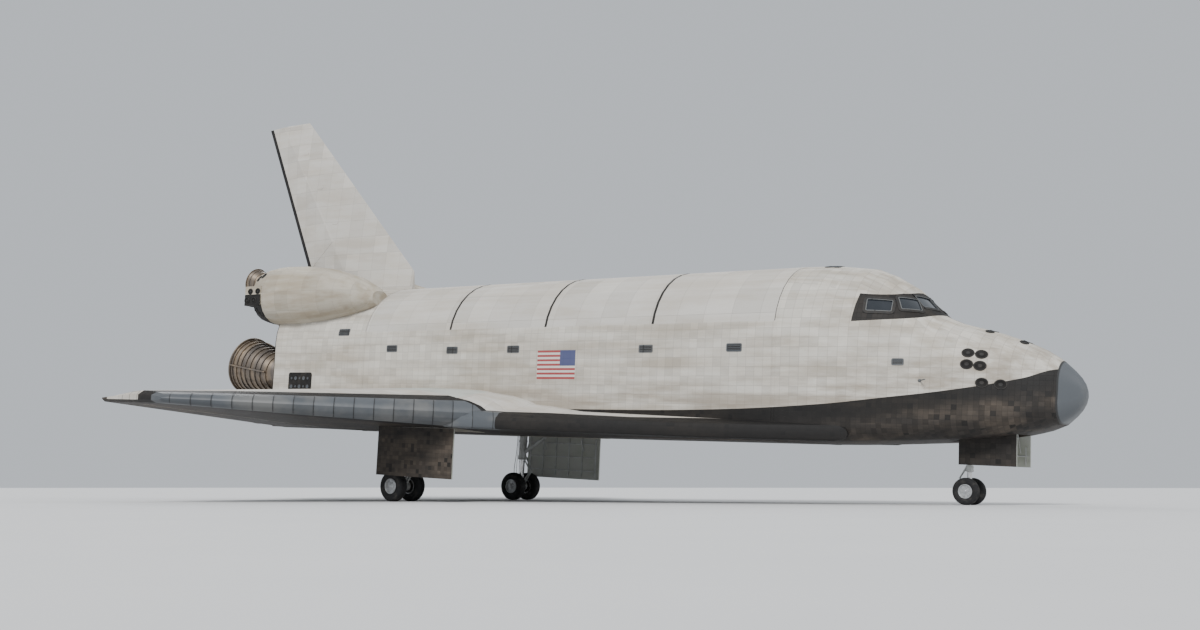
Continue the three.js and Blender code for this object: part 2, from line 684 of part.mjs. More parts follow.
function addPods() {
  const gimbal = at(podGimbal.station, podGimbal.y, podGimbal.height);
  const direction = aim(podGimbal.up, podGimbal.out);
  const nozzle = bellAt(bellProfile(podBell), podBell, gimbal, direction);
  const pod = cut(podShape(0), wholeHull, bellAt(bellSeat(podBell), podBell, gimbal, direction));
  for (const side of sides) {
    addPiece(`engine_pod_${side.name}`, side.of(pod), 'blanket');
    addPiece(`pod_nozzle_${side.name}`, side.of(nozzle), 'nozzle');
  }
}

// Body flap
const flapBearings = () =>
  bearings(new THREE.Matrix4().setPosition(-flap.hinge, 0, flap.height), [2000, -2000], () => flap.radius, 25);

function addBodyFlap() {
  const { hinge, height, radius, half, end, endHeight, endThickness } = flap;
  const ring = (y) => {
    const points = [at(end, y, endHeight - endThickness / 2), at(end, y, endHeight + endThickness / 2)];
    for (let i = 0; i <= 12; i++) {
      const angle = (0.5 - i / 12) * Math.PI;
      points.push(at(hinge - radius * Math.cos(angle), y, height + radius * Math.sin(angle)));
    }
    return points;
  };
  const pivot = addHinge('body_flap', at(hinge, 0, height), new THREE.Vector3(0, 1, 0));
  addPiece('body_flap', held(loft([ring(-half), ring(half)]), flapBearings()), 'blackTile', pivot);
}

// Fin with its rudder, split into a post and two brake panels
function finRing(height, thinned = 1) {
  const share = (height - finRoot.height) / (finTip.height - finRoot.height);
  const front = THREE.MathUtils.lerp(finRoot.leading, finTip.leading, share);
  const chord = THREE.MathUtils.lerp(finRoot.chord, finTip.chord, share);
  const halfAt = (along) => {
    if (along > hingeFraction) {
      return THREE.MathUtils.mapLinear(along, hingeFraction, 1, finHalfThickness * chord, 12);
    }
    return finHalfThickness * chord * (along / hingeFraction) ** 0.8;
  };
  const shares = [0.004, 0.02, 0.07, 0.2, 0.4, 0.6, 1];
  const port = shares.map((along) => at(front + along * chord, thinned * halfAt(along), height));
  const starboard = port.map((point) => point.clone().setY(-point.y)).reverse();
  return [at(front, 0, height), ...port, ...starboard];
}

function addFin() {
  const whole = cut(
    loft([finRing(5500), finRing(finTip.height - 60), finRing(finTip.height, 0.4)]),
    block(25000, bayEnd + 60, -1000, 1000, 0, 9000),
    block(tailEnd, 36000, -1000, 1000, 0, 6300)
  );
  const local = (solid) => placed(solid, rudderFrame);
  const box = (x0, x1, y0, y1, z0, z1) => local(block(-x1, -x0, y0, y1, z0, z1));
  const below = block(25000, 38000, -1000, 1000, 0, rudderTop);
  const lip = 0.4;
  const slot = local(
    loft([-panelGap, rudderLength + 600].map((along) => [
      new THREE.Vector3(lip * rudderRadius(along), -600, along),
      new THREE.Vector3(lip * rudderRadius(along), 600, along),
      new THREE.Vector3(-4500, 600, along),
      new THREE.Vector3(-4500, -600, along),
    ]))
  );
  const topSlot = box(-4500, 40, -600, 600, rudderLength, rudderLength + 2500);
  const cove = rudderNose(-panelGap, rudderLength + 400, swing);
  const housing = rod(at(31500, 0, 6680), at(33600, 0, 6680), 260, 20);
  const fixed = cut(joined(whole, housing), wholeHull, slot, topSlot, cove);
  const upright = rudderFrame.clone().multiply(new THREE.Matrix4().makeRotationX(Math.PI / 2));
  const pivots = bearings(upright, rudderBearings, rudderRadius, 28);
  addPiece('fin', holding(fixed, pivots), 'blanket');

  const foot = at(rudderFoot.station, 0, rudderFoot.height);
  const line = new THREE.Vector3(-Math.sin(rudderSweep), 0, Math.cos(rudderSweep));
  const post = common(
    joined(common(whole, box(-postDepth, 0, -600, 600, 0, 9000)), rudderNose(0, rudderLength, 0)),
    below
  );
  const rudder = addHinge('rudder', foot, line);
  addPiece('rudder_post', held(post, pivots), 'blanket', rudder);

  const panel = common(whole, box(-4500, -postDepth - seat, panelGap / 2, 600, 0, 12000), below);
  for (const side of sides) {
    const ends = [0, rudderLength].map((along) =>
      new THREE.Vector3(-postDepth, side.sign * rudderRadius(along), along).applyMatrix4(rudderFrame)
    );
    const axis = ends[1].clone().sub(ends[0]).multiplyScalar(-side.sign);
    const hinge = addHinge(`speed_brake_${side.name}`, ends[0], axis);
    addPiece(`speed_brake_${side.name}`, side.of(panel), 'blanket', hinge);
  }
}

// Wings with their leading edges and elevons
function addWings() {
  const wingRings = [2200, 4801, 8000, wingTip - 130].map((y) => wingRing(y));
  const gloveRings = [2380, gloveRoot.y, 3200, 4000, crank.y, 5000].map(gloveRing);
  const whole = cut(joined(loft([...wingRings, wingRing(wingTip, 0.45)]), loft(gloveRings)), wholeHull);
  const local = (solid) => placed(solid, elevonFrame);

  const end = elevonHinge.length + panelGap;
  const slotPlan = [
    [wingLip * elevonRadius(-panelGap), -panelGap],
    [wingLip * elevonRadius(end), end],
    [-4000, end],
    [-4000, -panelGap],
  ];
  const slot = local(prism(slotPlan, -2000, 2000));
  const cove = elevonNose(-panelGap, end, swing);
  const well = block(mainWell.front, mainWell.back, mainWell.inner, mainWell.outer, -500, mainWell.ceiling);
  const outerEdge = common(whole, edgeStrip(0));
  const pivots = elevonBearings.map((places) => bearings(elevonFrame, places, elevonRadius, 42));
  const wing = pivots.reduce(holding, cut(whole, edgeStrip(seat), slot, cove, well, attachPad(aftPad, 1, 2 * seat)));
  for (const side of sides) {
    addPiece(`wing_${side.name}`, side.of(wing), 'blackTile');
    addPiece(`leading_edge_${side.name}`, side.of(outerEdge), 'edge');
  }

  for (const [i, [name, from, to]] of elevonTable.entries()) {
    const plan = [[0, from], [0, to], [-4000, to], [-4000, from]];
    const surface = joined(common(whole, local(prism(plan, -2000, 2000))), elevonNose(from, to, 0));
    const elevon = held(surface, pivots[i]);
    const start = new THREE.Vector3(0, from, 0).applyMatrix4(elevonFrame);
    const line = new THREE.Vector3(0, Math.cos(elevonHinge.rise), Math.sin(elevonHinge.rise));
    for (const side of sides) {
      const point = start.clone().setY(side.sign * start.y);
      const axis = line.clone().setZ(side.sign * line.z);
      const hinge = addHinge(`${name}_${side.name}`, point, axis);
      addPiece(`${name}_${side.name}`, side.of(elevon), 'blackTile', hinge);
    }
  }
}

// Landing gear

// Height of an axle over the belly line, so that its tyres stand on the ground.
const axleHeight = ({ station, radius }) =>
  (radius - bellyHeightAtNose - station * Math.sin(parkedPitch)) / Math.cos(parkedPitch);

// Twin rims on one axle, about Y. Sizes are shares of the tyre's radius, and distances from the middle.
function wheelPair(gear, rimRadius, rimHalf, bossHalf) {
  const inner = bossHalf + 12;
  const rimIn = gear.halfTrack - rimHalf;
  const rimOut = gear.halfTrack + rimHalf;
  const half = [
    [gear.axle, inner],
    [gear.axle * 1.6, inner],
    [gear.axle * 1.6, rimIn],
    [rimRadius, rimIn],
    [rimRadius, rimOut],
    [rimRadius * 0.85, rimOut - 0.3 * rimHalf],
    [gear.axle * 1.3, rimOut - 0.3 * rimHalf],
    [0, rimOut + 15],
  ];
  const other = half.map(([radius, along]) => [radius, -along]).reverse();
  const centre = at(gear.station, gear.y, axleHeight(gear));
  return turned([...other, ...half], wheelSteps, centre);
}

// Columns: share of the depth from rim to tread, share of the half width.
const tyreTable = [[0, 0.82], [0.45, 1], [0.82, 0.88], [0.97, 0.58], [1, 0.26]];
function tyre(gear, rimRadius, halfWidth, side) {
  const depth = gear.radius - rimRadius - seat;
  const half = tyreTable.map(([out, across]) => [rimRadius + seat + out * depth, across * halfWidth]);
  const other = half.map(([radius, along]) => [radius, -along]).reverse();
  const centre = at(gear.station, gear.y + side * gear.halfTrack, axleHeight(gear));
  const profile = [...half, ...other];
  return turned([...profile, profile[0]], wheelSteps, centre);
}

const boss = (gear, radius, half, steps = 24) => {
  const height = axleHeight(gear);
  return rod(at(gear.station, gear.y - half, height), at(gear.station, gear.y + half, height), radius, steps);
};
const axleBore = (gear, half) => boss(gear, boreRadius(gear.axle, boreSteps), half, boreSteps);

function addMainGear() {
  const { inner, outer } = mainWell;
  const height = axleHeight(mainAxle);
  const across = (station, z, radius) => rod(at(station, inner + seat, z), at(station, outer - seat, z), radius);
  const middle = (station, z) => at(station, mainAxle.y, z);
  const leg = joined(
    across(mainAxle.station - 60, 650, 150),
    rod(middle(mainAxle.station - 60, 650), middle(mainAxle.station - 15, -900), 165),
    rod(middle(mainAxle.station - 15, -900), middle(mainAxle.station, height), 112),
    across(21300, 800, 110),
    rod(middle(21300, 800), middle(mainAxle.station - 30, -700), 80),
    boss(mainAxle, 165, 240)
  );
  const bored = cut(leg, axleBore(mainAxle, 400));
  const wheels = wheelPair(mainAxle, 285, 175, 240);
  const hingeTop = lowerSurface(mainWell.back, outer + 6) - seat;
  const door = block(mainWell.front + 20, mainWell.back - 20, outer + 6, outer + 6 + doorPlate,
    hingeTop - mainDoorDrop, hingeTop);
  for (const side of sides) {
    addPiece(`main_gear_leg_${side.name}`, side.of(bored), 'metal');
    addPiece(`main_gear_door_${side.name}`, side.of(door), 'blackTile');
    const axle = at(mainAxle.station, side.sign * mainAxle.y, height);
    const hinge = addHinge(`main_wheels_${side.name}`, axle, new THREE.Vector3(0, 1, 0));
    addPiece(`main_wheels_${side.name}`, side.of(wheels), 'metal', hinge);
    addPiece(`main_tyre_inner_${side.name}`, side.of(tyre(mainAxle, 285, 203, -1)), 'tyre', hinge);
    addPiece(`main_tyre_outer_${side.name}`, side.of(tyre(mainAxle, 285, 203, 1)), 'tyre', hinge);
  }
}

function addNoseGear() {
  const { half } = noseWell;
  const { station } = noseAxle;
  const height = axleHeight(noseAxle);
  const collarTop = -360;
  const across = (s, z, radius) => rod(at(s, seat - half, z), at(s, half - seat, z), radius);
  const leg = joined(
    across(station, 1150, 92),
    rod(at(station, 0, 1150), at(station, 0, collarTop), 98, 24),
    across(2250, 1350, 90),
    rod(at(2250, 0, 1350), at(station - 40, 0, -150), 65)
  );
  const bore = rod(at(station, 0, 100), at(station, 0, -900), 72.8, 24);
  addPiece('nose_gear_leg', cut(leg, bore), 'metal');

  const piston = rod(at(station, 0, 90), at(station, 0, height), 72, 24);
  const collar = rod(at(station, 0, collarTop - swing), at(station, 0, collarTop - 200), 110, 24);
  const fork = cut(joined(piston, collar, boss(noseAxle, 125, 150)), axleBore(noseAxle, 300));
  const steer = addHinge('nose_steering', at(station, 0, height), new THREE.Vector3(0, 0, 1));
  addPiece('nose_gear_fork', fork, 'metal', steer);

  const axle = addHinge('nose_wheels', at(station, 0, height), new THREE.Vector3(0, 1, 0));
  addPiece('nose_wheels', wheelPair(noseAxle, 215, 95, 150), 'metal', axle);
  addPiece('nose_tyre_left', tyre(noseAxle, 215, 112, 1), 'tyre', axle);
  addPiece('nose_tyre_right', tyre(noseAxle, 215, 112, -1), 'tyre', axle);

  const doorRing = (s) => {
    const top = bellyAt(s) - seat;
    const inside = half + 5;
    const bottom = bellyAt(noseWell.back) - noseDoorDrop;
    return [
      at(s, inside, bottom),
      at(s, inside + doorPlate, bottom),
      at(s, inside + doorPlate, top),
      at(s, inside, top),
    ];
  };
  const door = loft([noseWell.front, 2388, 3000, noseWell.back].map(doorRing));
  for (const side of sides) addPiece(`nose_gear_door_${side.name}`, side.of(door), 'blackTile');
}

addNose();
addCrewSection();
addPayloadBay();
addTail();
addPods();
addBodyFlap();
addFin();
addWings();
addMainGear();
addNoseGear();

// The outline's middle stands over the origin.
const outline = new THREE.Box3().setFromObject(group, true);
airframe.position.x -= (outline.min.x + outline.max.x) / 2;
airframe.position.y -= (outline.min.y + outline.max.y) / 2;

export default group;
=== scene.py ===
import json
from math import cos, pi, radians, sin, sqrt
from types import SimpleNamespace

import bmesh
import bpy
import numpy
from mathutils import Matrix, Vector
from mathutils.bvhtree import BVHTree


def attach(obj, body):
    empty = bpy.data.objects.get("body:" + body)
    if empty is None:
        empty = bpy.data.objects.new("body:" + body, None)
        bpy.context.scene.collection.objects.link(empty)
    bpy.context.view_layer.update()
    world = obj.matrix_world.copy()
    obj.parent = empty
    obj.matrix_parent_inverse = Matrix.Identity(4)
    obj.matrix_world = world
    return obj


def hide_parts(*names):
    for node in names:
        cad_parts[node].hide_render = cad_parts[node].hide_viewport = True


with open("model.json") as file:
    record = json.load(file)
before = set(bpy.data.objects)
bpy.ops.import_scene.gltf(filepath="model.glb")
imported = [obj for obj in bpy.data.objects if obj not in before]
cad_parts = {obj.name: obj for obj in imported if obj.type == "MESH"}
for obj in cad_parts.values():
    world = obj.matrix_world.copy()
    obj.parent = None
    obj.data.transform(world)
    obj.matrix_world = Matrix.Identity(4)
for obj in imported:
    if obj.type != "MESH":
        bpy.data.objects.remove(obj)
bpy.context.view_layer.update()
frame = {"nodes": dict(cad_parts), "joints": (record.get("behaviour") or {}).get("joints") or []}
nodes = frame["nodes"]
scene = bpy.context.scene

# the airframe's own measure: stations aft of the nose tip, side, height over the belly line
airframe = {
    "pitch": radians(3),  # parked nose down
    "flapStation": 32.918,  # the body flap's hinge ties the two measures together
    "flapHeight": 0.340,
}
flapHinge = Vector(next(joint["pos_m"] for joint in frame["joints"] if joint["name"] == "body_flap"))
aft = Vector((-cos(airframe["pitch"]), 0, sin(airframe["pitch"])))
up = Vector((sin(airframe["pitch"]), 0, cos(airframe["pitch"])))
noseTip = flapHinge - aft * airframe["flapStation"] - up * airframe["flapHeight"]
sides = (("left", 1), ("right", -1))


def place(station, side, height):
    return noseTip + aft * station + Vector((0, side, 0)) + up * height


def direction(back, side, rise):
    return (aft * back + Vector((0, side, 0)) + up * rise).normalized()


def turnTo(axis, upwards=(0, 1, 0)):
    # a turn that takes local Z to the axis and keeps local Y near upwards
    z = Vector(axis).normalized()
    x = Vector(upwards).cross(z)
    if x.length < 1e-4:
        x = Vector((1, 0, 0)).cross(z) if abs(z.x) < 0.9 else Vector((0, 0, 1)).cross(z)
    x.normalize()
    return Matrix((x, z.cross(x), z)).transposed().to_4x4()


def seat(spot, axis, upwards=(0, 1, 0)):
    return Matrix.Translation(spot) @ turnTo(axis, upwards)


def shift(x, y, z):
    return Matrix.Translation((x, y, z))


def turns(count, start=0):
    return [2 * pi * i / count + start for i in range(count)]


def put(tree, kind, inputs=None, **settings):
    # a node with its settings, and its inputs by name or number
    node = tree.nodes.new(kind)
    for key, value in settings.items():
        setattr(node, key, value)
    for key, value in (inputs or {}).items():
        feed(node.inputs[key], value)
    return node


def feed(socket, value):
    if isinstance(value, Wire):
        value.tree.links.new(value.socket, socket)
    elif socket.type == "RGBA":
        socket.default_value = (*value, 1)
    else:
        socket.default_value = value


class Wire:
    # a value in a node tree: sums are written as sums, > and < give masks, | takes the larger value
    def __init__(self, tree, socket):
        self.tree, self.socket = tree, socket

    def through(self, kind, inputs=None, output=0, entry=0, **settings):
        node = put(self.tree, kind, {entry: self, **(inputs or {})}, **settings)
        return Wire(self.tree, node.outputs[output])

    def math(self, operation, other=0):
        return self.through("ShaderNodeMath", {1: other}, operation=operation)

    def __add__(self, other):
        return self.math("ADD", other)

    def __sub__(self, other):
        return self.math("SUBTRACT", other)

    def __mul__(self, other):
        return self.math("MULTIPLY", other)

    def __truediv__(self, other):
        return self.math("DIVIDE", other)

    def __pow__(self, other):
        return self.math("POWER", other)

    def __gt__(self, other):
        return self.math("GREATER_THAN", other)

    def __lt__(self, other):
        return self.math("LESS_THAN", other)

    def __or__(self, other):
        return self.math("MAXIMUM", other)

    def __neg__(self):
        return self * -1

    def __rsub__(self, other):
        return -self + other

    def ease(self, start, end):
        # 0 at start, 1 at end
        return self.through("ShaderNodeMapRange", {1: start, 2: end}, interpolation_type="SMOOTHSTEP")

    def between(self, first, second):
        # the first colour where this is 0, the second where it is 1
        return self.through("ShaderNodeMix", {6: first, 7: second}, 2, data_type="RGBA")

    def pick(self, first, second):
        # as between, for two values
        return self.through("ShaderNodeMix", {2: first, 3: second}, data_type="FLOAT")

    def off(self, spot):
        return (self - spot).math("ABSOLUTE")

    def within(self, low, high):
        return (self > low) * (self < high)

    def joints(self, pitch, start, end):
        # the lines between cells of a pitch, faded from start to end away from the middle of a cell
        return (self / pitch).math("FRACT").off(0.5).ease(start, end)

    def parts(self):
        node = put(self.tree, "ShaderNodeSeparateXYZ", {0: self})
        return [Wire(self.tree, socket) for socket in node.outputs]

    def noise(self, scale, detail, rough):
        return self.through("ShaderNodeTexNoise", {"Scale": scale, "Detail": detail, "Roughness": rough})

    def stretch(self, scale):
        return self.through("ShaderNodeMapping", {"Scale": scale})

    def shade(self, value):
        return self.through("ShaderNodeHueSaturation", {"Value": value}, entry="Color")

    def curve(self, points):
        node = put(self.tree, "ShaderNodeFloatCurve", {1: self})
        line = node.mapping.curves[0].points
        for i, point in enumerate(points):
            if i < 2:
                line[i].location = point
            else:
                line.new(*point)
        for point in line:
            point.handle_type = "AUTO"
        node.mapping.update()
        return Wire(self.tree, node.outputs[0])


def shaderGroup(name, inputs, build):
    # inputs by name with their values, or None for a place; build gives the outputs by name
    group = bpy.data.node_groups.new(name, "ShaderNodeTree")
    kinds = {"VECTOR": "NodeSocketVector", "VALUE": "NodeSocketFloat"}
    for label, value in inputs.items():
        kind = kinds["VECTOR" if value is None else "VALUE"]
        socket = group.interface.new_socket(name=label, in_out="INPUT", socket_type=kind)
        if value is not None:
            socket.default_value = value
    start = put(group, "NodeGroupInput")
    made = build(*(Wire(group, start.outputs[label]) for label in inputs))
    for label, wire in made.items():
        group.interface.new_socket(name=label, in_out="OUTPUT", socket_type=kinds[wire.socket.type])
    put(group, "NodeGroupOutput", made)
    return group


def use(tree, group, **values):
    node = put(tree, "ShaderNodeGroup", values, node_tree=group)
    return SimpleNamespace(**{socket.name: Wire(tree, socket) for socket in node.outputs})


def airframePlace(position, facing):
    # where a point is: station, distance from the middle, height, and its place on a grid over the skin
    turn = {"Rotation": (0, airframe["pitch"], 0)}
    level = position.through("ShaderNodeMapping", {"Location": noseTip, **turn}, vector_type="TEXTURE")
    x, y, z = level.parts()
    looks = facing.through("ShaderNodeMapping", turn, vector_type="TEXTURE").parts()
    alongX, alongY, alongZ = (one.math("ABSOLUTE") for one in looks)
    flat, ends = alongZ > (alongX | alongY), alongX > (alongZ | alongY)
    grid = ends.pick(-x, y).through("ShaderNodeCombineXYZ", {1: flat.pick(z, y)})
    under = looks[2] < -0.12  # faces that look down
    return {"station": -x, "side": y.math("ABSOLUTE"), "height": z, "grid": grid, "under": under,
            "level": level}


def tileGrid(grid, size, joint):
    # square tiles: two random tones for each tile, the joints between them and a rise towards their middle
    scaled = grid.through("ShaderNodeVectorMath", {1: size}, operation="DIVIDE")
    cell = scaled.through("ShaderNodeVectorMath", operation="FLOOR")
    x, y, _ = scaled.through("ShaderNodeVectorMath", operation="FRACTION").parts()
    tone, tint, _ = cell.through("ShaderNodeTexWhiteNoise", output=1, noise_dimensions="3D").parts()
    edge = x.off(0.5) | y.off(0.5)
    return {"tone": tone, "tint": tint, "joint": edge.ease(0.5 - joint / size, 0.5), "dome": -(edge * edge)}


def weatherMarks(level, scale):
    # marks of heat and rain that run aft, broad patches and fine grain
    return {"streak": level.stretch((0.22, 2.6, 2.6)).noise(scale, 5, 0.6),
            "patch": level.stretch((0.35, 0.6, 0.6)).noise(scale, 4, 0.62), "grain": level.noise(38, 4, 0.7)}


def quiltSeams(grid, blanket, stitch):
    # stitched blankets: their outlines and the small pillows inside
    large = use(grid.tree, tiles, grid=grid, size=blanket, joint=0.012)
    small = use(grid.tree, tiles, grid=grid, size=stitch, joint=0.012)
    return {"tone": large.tone, "seam": large.joint, "pillow": small.dome}


places = shaderGroup("airframePlace", {"position": None, "facing": None}, airframePlace)
tiles = shaderGroup("tileGrid", {"grid": None, "size": 0.15, "joint": 0.004}, tileGrid)
weather = shaderGroup("weather", {"level": None, "scale": 1.0}, weatherMarks)
quilt = shaderGroup("quilt", {"grid": None, "blanket": 0.76, "stitch": 0.0635}, quiltSeams)

paint = {
    "whiteTile": (0.62, 0.59, 0.53), "whiteTileOld": (0.40, 0.35, 0.28), "whiteSoot": (0.27, 0.225, 0.175),
    "blanket": (0.60, 0.575, 0.53), "blanketOld": (0.43, 0.37, 0.29),
    "blanketSeam": (0.19, 0.17, 0.15), "blanketDust": (0.25, 0.22, 0.18),
    "pod": (0.50, 0.46, 0.385), "podOld": (0.33, 0.27, 0.19),
    "liner": (0.66, 0.66, 0.63), "linerOld": (0.5, 0.48, 0.43),
    "blackTile": (0.0095, 0.0088, 0.0084), "blackOld": (0.042, 0.035, 0.029),
    "blackJoint": (0.008, 0.007, 0.006),
    "belly": (0.024, 0.0205, 0.018), "bellyOld": (0.115, 0.09, 0.068),
    "edge": (0.085, 0.093, 0.102), "edgeOld": (0.19, 0.185, 0.172), "edgeSeam": (0.02, 0.02, 0.02),
    "capRim": (0.03, 0.03, 0.03), "hingeJoint": (0.05, 0.048, 0.045),
    "doorRidge": (0.33, 0.31, 0.28), "doorJoint": (0.1, 0.095, 0.09),
    "film": (0.70, 0.72, 0.75), "filmOld": (0.52, 0.54, 0.58),
    "filmTube": (0.4, 0.42, 0.45), "filmGap": (0.06, 0.06, 0.06),
    "bell": (0.16, 0.14, 0.125), "bellHeat": (0.30, 0.235, 0.17), "bellSoot": (0.055, 0.05, 0.048),
    "rubber": (0.016, 0.016, 0.017), "rubberDust": (0.075, 0.07, 0.062),
    "glass": (0.012, 0.015, 0.019), "glassFilm": (0.03, 0.035, 0.042),
    "wellPaint": (0.50, 0.51, 0.47), "wellGrime": (0.26, 0.27, 0.20),
}


class Skin:
    # a material in the making; one of the outer skin knows where it is on the airframe
    def __init__(self, name, outer=True):
        self.material = bpy.data.materials.new(name)
        self.material.use_nodes = True
        self.tree = self.material.node_tree
        self.position = Wire(self.tree, put(self.tree, "ShaderNodeTexCoord").outputs["Object"])
        if outer:
            facing = put(self.tree, "ShaderNodeAttribute", attribute_name="facing")
            self.facing = Wire(self.tree, facing.outputs["Vector"])
            self.where = use(self.tree, places, position=self.position, facing=self.facing)
            self.marks = use(self.tree, weather, level=self.where.level)

    def done(self, colour, rough, height=None, strength=0.5, distance=0.006, others=None):
        # the finished material; strength and distance are those of the bumps that height gives
        inputs = {"Base Color": colour, "Roughness": rough, "Specular IOR Level": 0.3, **(others or {})}
        if height:
            inputs["Normal"] = height.through("ShaderNodeBump", {"Strength": strength, "Distance": distance},
                                              entry="Height")
        for label, value in inputs.items():
            feed(self.tree.nodes["Principled BSDF"].inputs[label], value)
        return self.material


def blackTiles(skin, new, old, wear):
    # colour, roughness and height of black tiles, some of them newer than their neighbours
    grid = use(skin.tree, tiles, grid=skin.where.grid, size=0.152, joint=0.006)
    worn = (skin.marks.patch + skin.marks.streak * 0.5).ease(0.62, 1.05)
    colour = (worn * wear).between(paint[new], paint[old])
    colour = ((grid.tone > 0.93) * 0.75).between(colour, paint["blackTile"])
    colour = (grid.joint * 0.6).between(colour.shade(grid.tint * 0.55 + 0.74), paint["blackJoint"])
    return colour, skin.marks.patch * 0.3 + 0.48, -grid.joint


def whiteSkin(skin, new, size, wear):
    # white blankets and tiles: outlines, stains that run aft, and a tone for each square
    cloth = use(skin.tree, quilt, grid=skin.where.grid, blanket=size)
    stain = (skin.marks.streak + skin.marks.patch * 0.6).ease(0.62, 1.02)
    colour = (stain * wear).between(paint[new], paint[new + "Old"]).shade(cloth.tone * 0.18 + 0.88)
    colour = (cloth.seam * 0.4).between(colour, paint["blanketSeam"])
    colour = (skin.marks.grain * 0.12).between(colour, paint["blanketDust"])
    return colour, cloth.pillow * 0.7 - cloth.seam


wells = {
    # front, back, inner side, outer side, lowest height
    "nose": (1.82, 3.54, -1, 0.61, 0.62), "main": (20.422, 24.232, 2.743, 4.369, 0.2),
    "top": 1.78, "slack": 0.004,
}


def wellMask(where, which):
    # 1 on the walls and ceiling of a gear well
    front, back, inner, outer, floor = wells[which]
    slack = wells["slack"]
    box = where.station.within(front - slack, back + slack) * where.side.within(inner - slack, outer + slack)
    return box * where.height.within(floor, wells["top"])


def wellColour(marks, dirt):
    return (marks.patch.ease(0.4, 0.75) * dirt).between(paint["wellPaint"], paint["wellGrime"])


def finishSkin(skin, black, dark, white, well=None, patch=None):
    # black tiles where the mask says so and white skin elsewhere, then the patch and the well
    colour = black.between(white[0], dark[0])
    if patch:
        colour = patch[0].between(colour, patch[1])
    if well:
        colour = well.between(colour, wellColour(skin.marks, 0.8))
    return skin.done(colour, black.pick(0.82, dark[1]), black.pick(white[1], dark[2]))


chine = {
    # the line between the black underside and the white side, in shares of its length and height
    "length": 38, "height": 4,
    "line": [(0, 0.64), (0.012, 0.63), (0.04, 0.545), (0.095, 0.44), (0.137, 0.385), (0.2, 0.315),
             (0.3, 0.262), (0.5, 0.235), (0.6, 0.2), (0.72, 0.12), (0.8, 0.08), (1, 0.07)],
}
visor = {
    "eye": (6.0, 3.9),  # station and height of the point that the windows look out from
    # middle and half height of the black band: share of 180 degrees round, share of 90 degrees up
    "rise": [(0, 0.30), (0.11, 0.272), (0.27, 0.2), (0.44, 0.15), (1, 0.1)],
    "half": [(0, 0.2), (0.11, 0.195), (0.27, 0.178), (0.44, 0.155), (1, 0.15)],
    "side": 99, "back": 7.2,  # last degrees round, last station
}
flagPatch = {
    "front": 16.55, "back": 18.25, "low": 2.02, "high": 3.04,  # stations and heights
    "union": 0.4, "unionDrop": 7 / 13, "stripes": 13,
    "red": (0.33, 0.035, 0.04), "white": (0.62, 0.6, 0.56), "blue": (0.035, 0.05, 0.16),
}


def flagOn(where):
    # a plain striped patch on both sides, its blue corner forward and up
    flag = flagPatch
    back = (where.station - flag["front"]) / (flag["back"] - flag["front"])
    drop = (flag["high"] - where.height) / (flag["high"] - flag["low"])
    stripe = (drop * (flag["stripes"] / 2)).math("FRACT") > 0.5
    union = (back < flag["union"]) * (drop < flag["unionDrop"])
    colour = union.between(stripe.between(flag["red"], flag["white"]), flag["blue"])
    return back.within(0, 1) * drop.within(0, 1) * 0.9, colour


def makeHullSkin():
    skin = Skin("hullSkin")
    where, marks = skin.where, skin.marks
    line = (where.station / chine["length"]).curve(chine["line"]) * chine["height"]
    ahead = visor["eye"][0] - where.station
    reach = (ahead ** 2 + where.side ** 2).math("SQRT")
    turn = where.side.math("ARCTAN2", ahead).math("DEGREES")
    climb = (where.height - visor["eye"][1]).math("ARCTAN2", reach).math("DEGREES")
    middle, half = ((turn / 180).curve(visor[key]) * 90 for key in ("rise", "half"))
    near = (climb.off(middle) < half) * (turn < visor["side"]) * (where.station < visor["back"])
    dark, rough, joints = blackTiles(skin, "belly", "bellyOld", 0.75)
    # very black along the chine, as new tiles are
    band = (line - where.height).ease(0.75, 0.25) | near
    dark = (band * 0.8).between(dark, paint["blackTile"])
    white, height = whiteSkin(skin, "whiteTile", 0.305, 0.8)
    # soot and rain marks gather low on the sides
    low = (where.height - line).ease(1.5, 0) * marks.streak.ease(0.34, 0.62)
    white = (low * 0.55).between(white, paint["whiteSoot"])
    return finishSkin(skin, (where.height < line) | near, (dark, rough, joints), (white, height),
                      wellMask(where, "nose"), flagOn(where))


wing = {
    "leadingStation": 15.037,  # where the line of the swept edge, at 45 degrees, meets the middle
    "gloveStation": 6.3, "gloveSide": 2.47, "crankStation": 19.838, "crankSide": 4.801,  # ends of the glove
    "tailStation": 32.029, "tailSweep": 0.17733, "tailSide": 2.794,  # trailing edge at the root, its slope
    "panel": 0.68,  # length of each leading edge panel
    "gloveBand": 0.55, "edgeBand": 1.35, "tailBand": 0.3,  # depths of the black tiles on top
    "hingeDoors": (28.35, 28.78, 29.2),  # stations of the doors over the elevon hinge
    "hingeDoor": 0.62, "hingeSide": 2.9,  # their width, and the side where they start
}


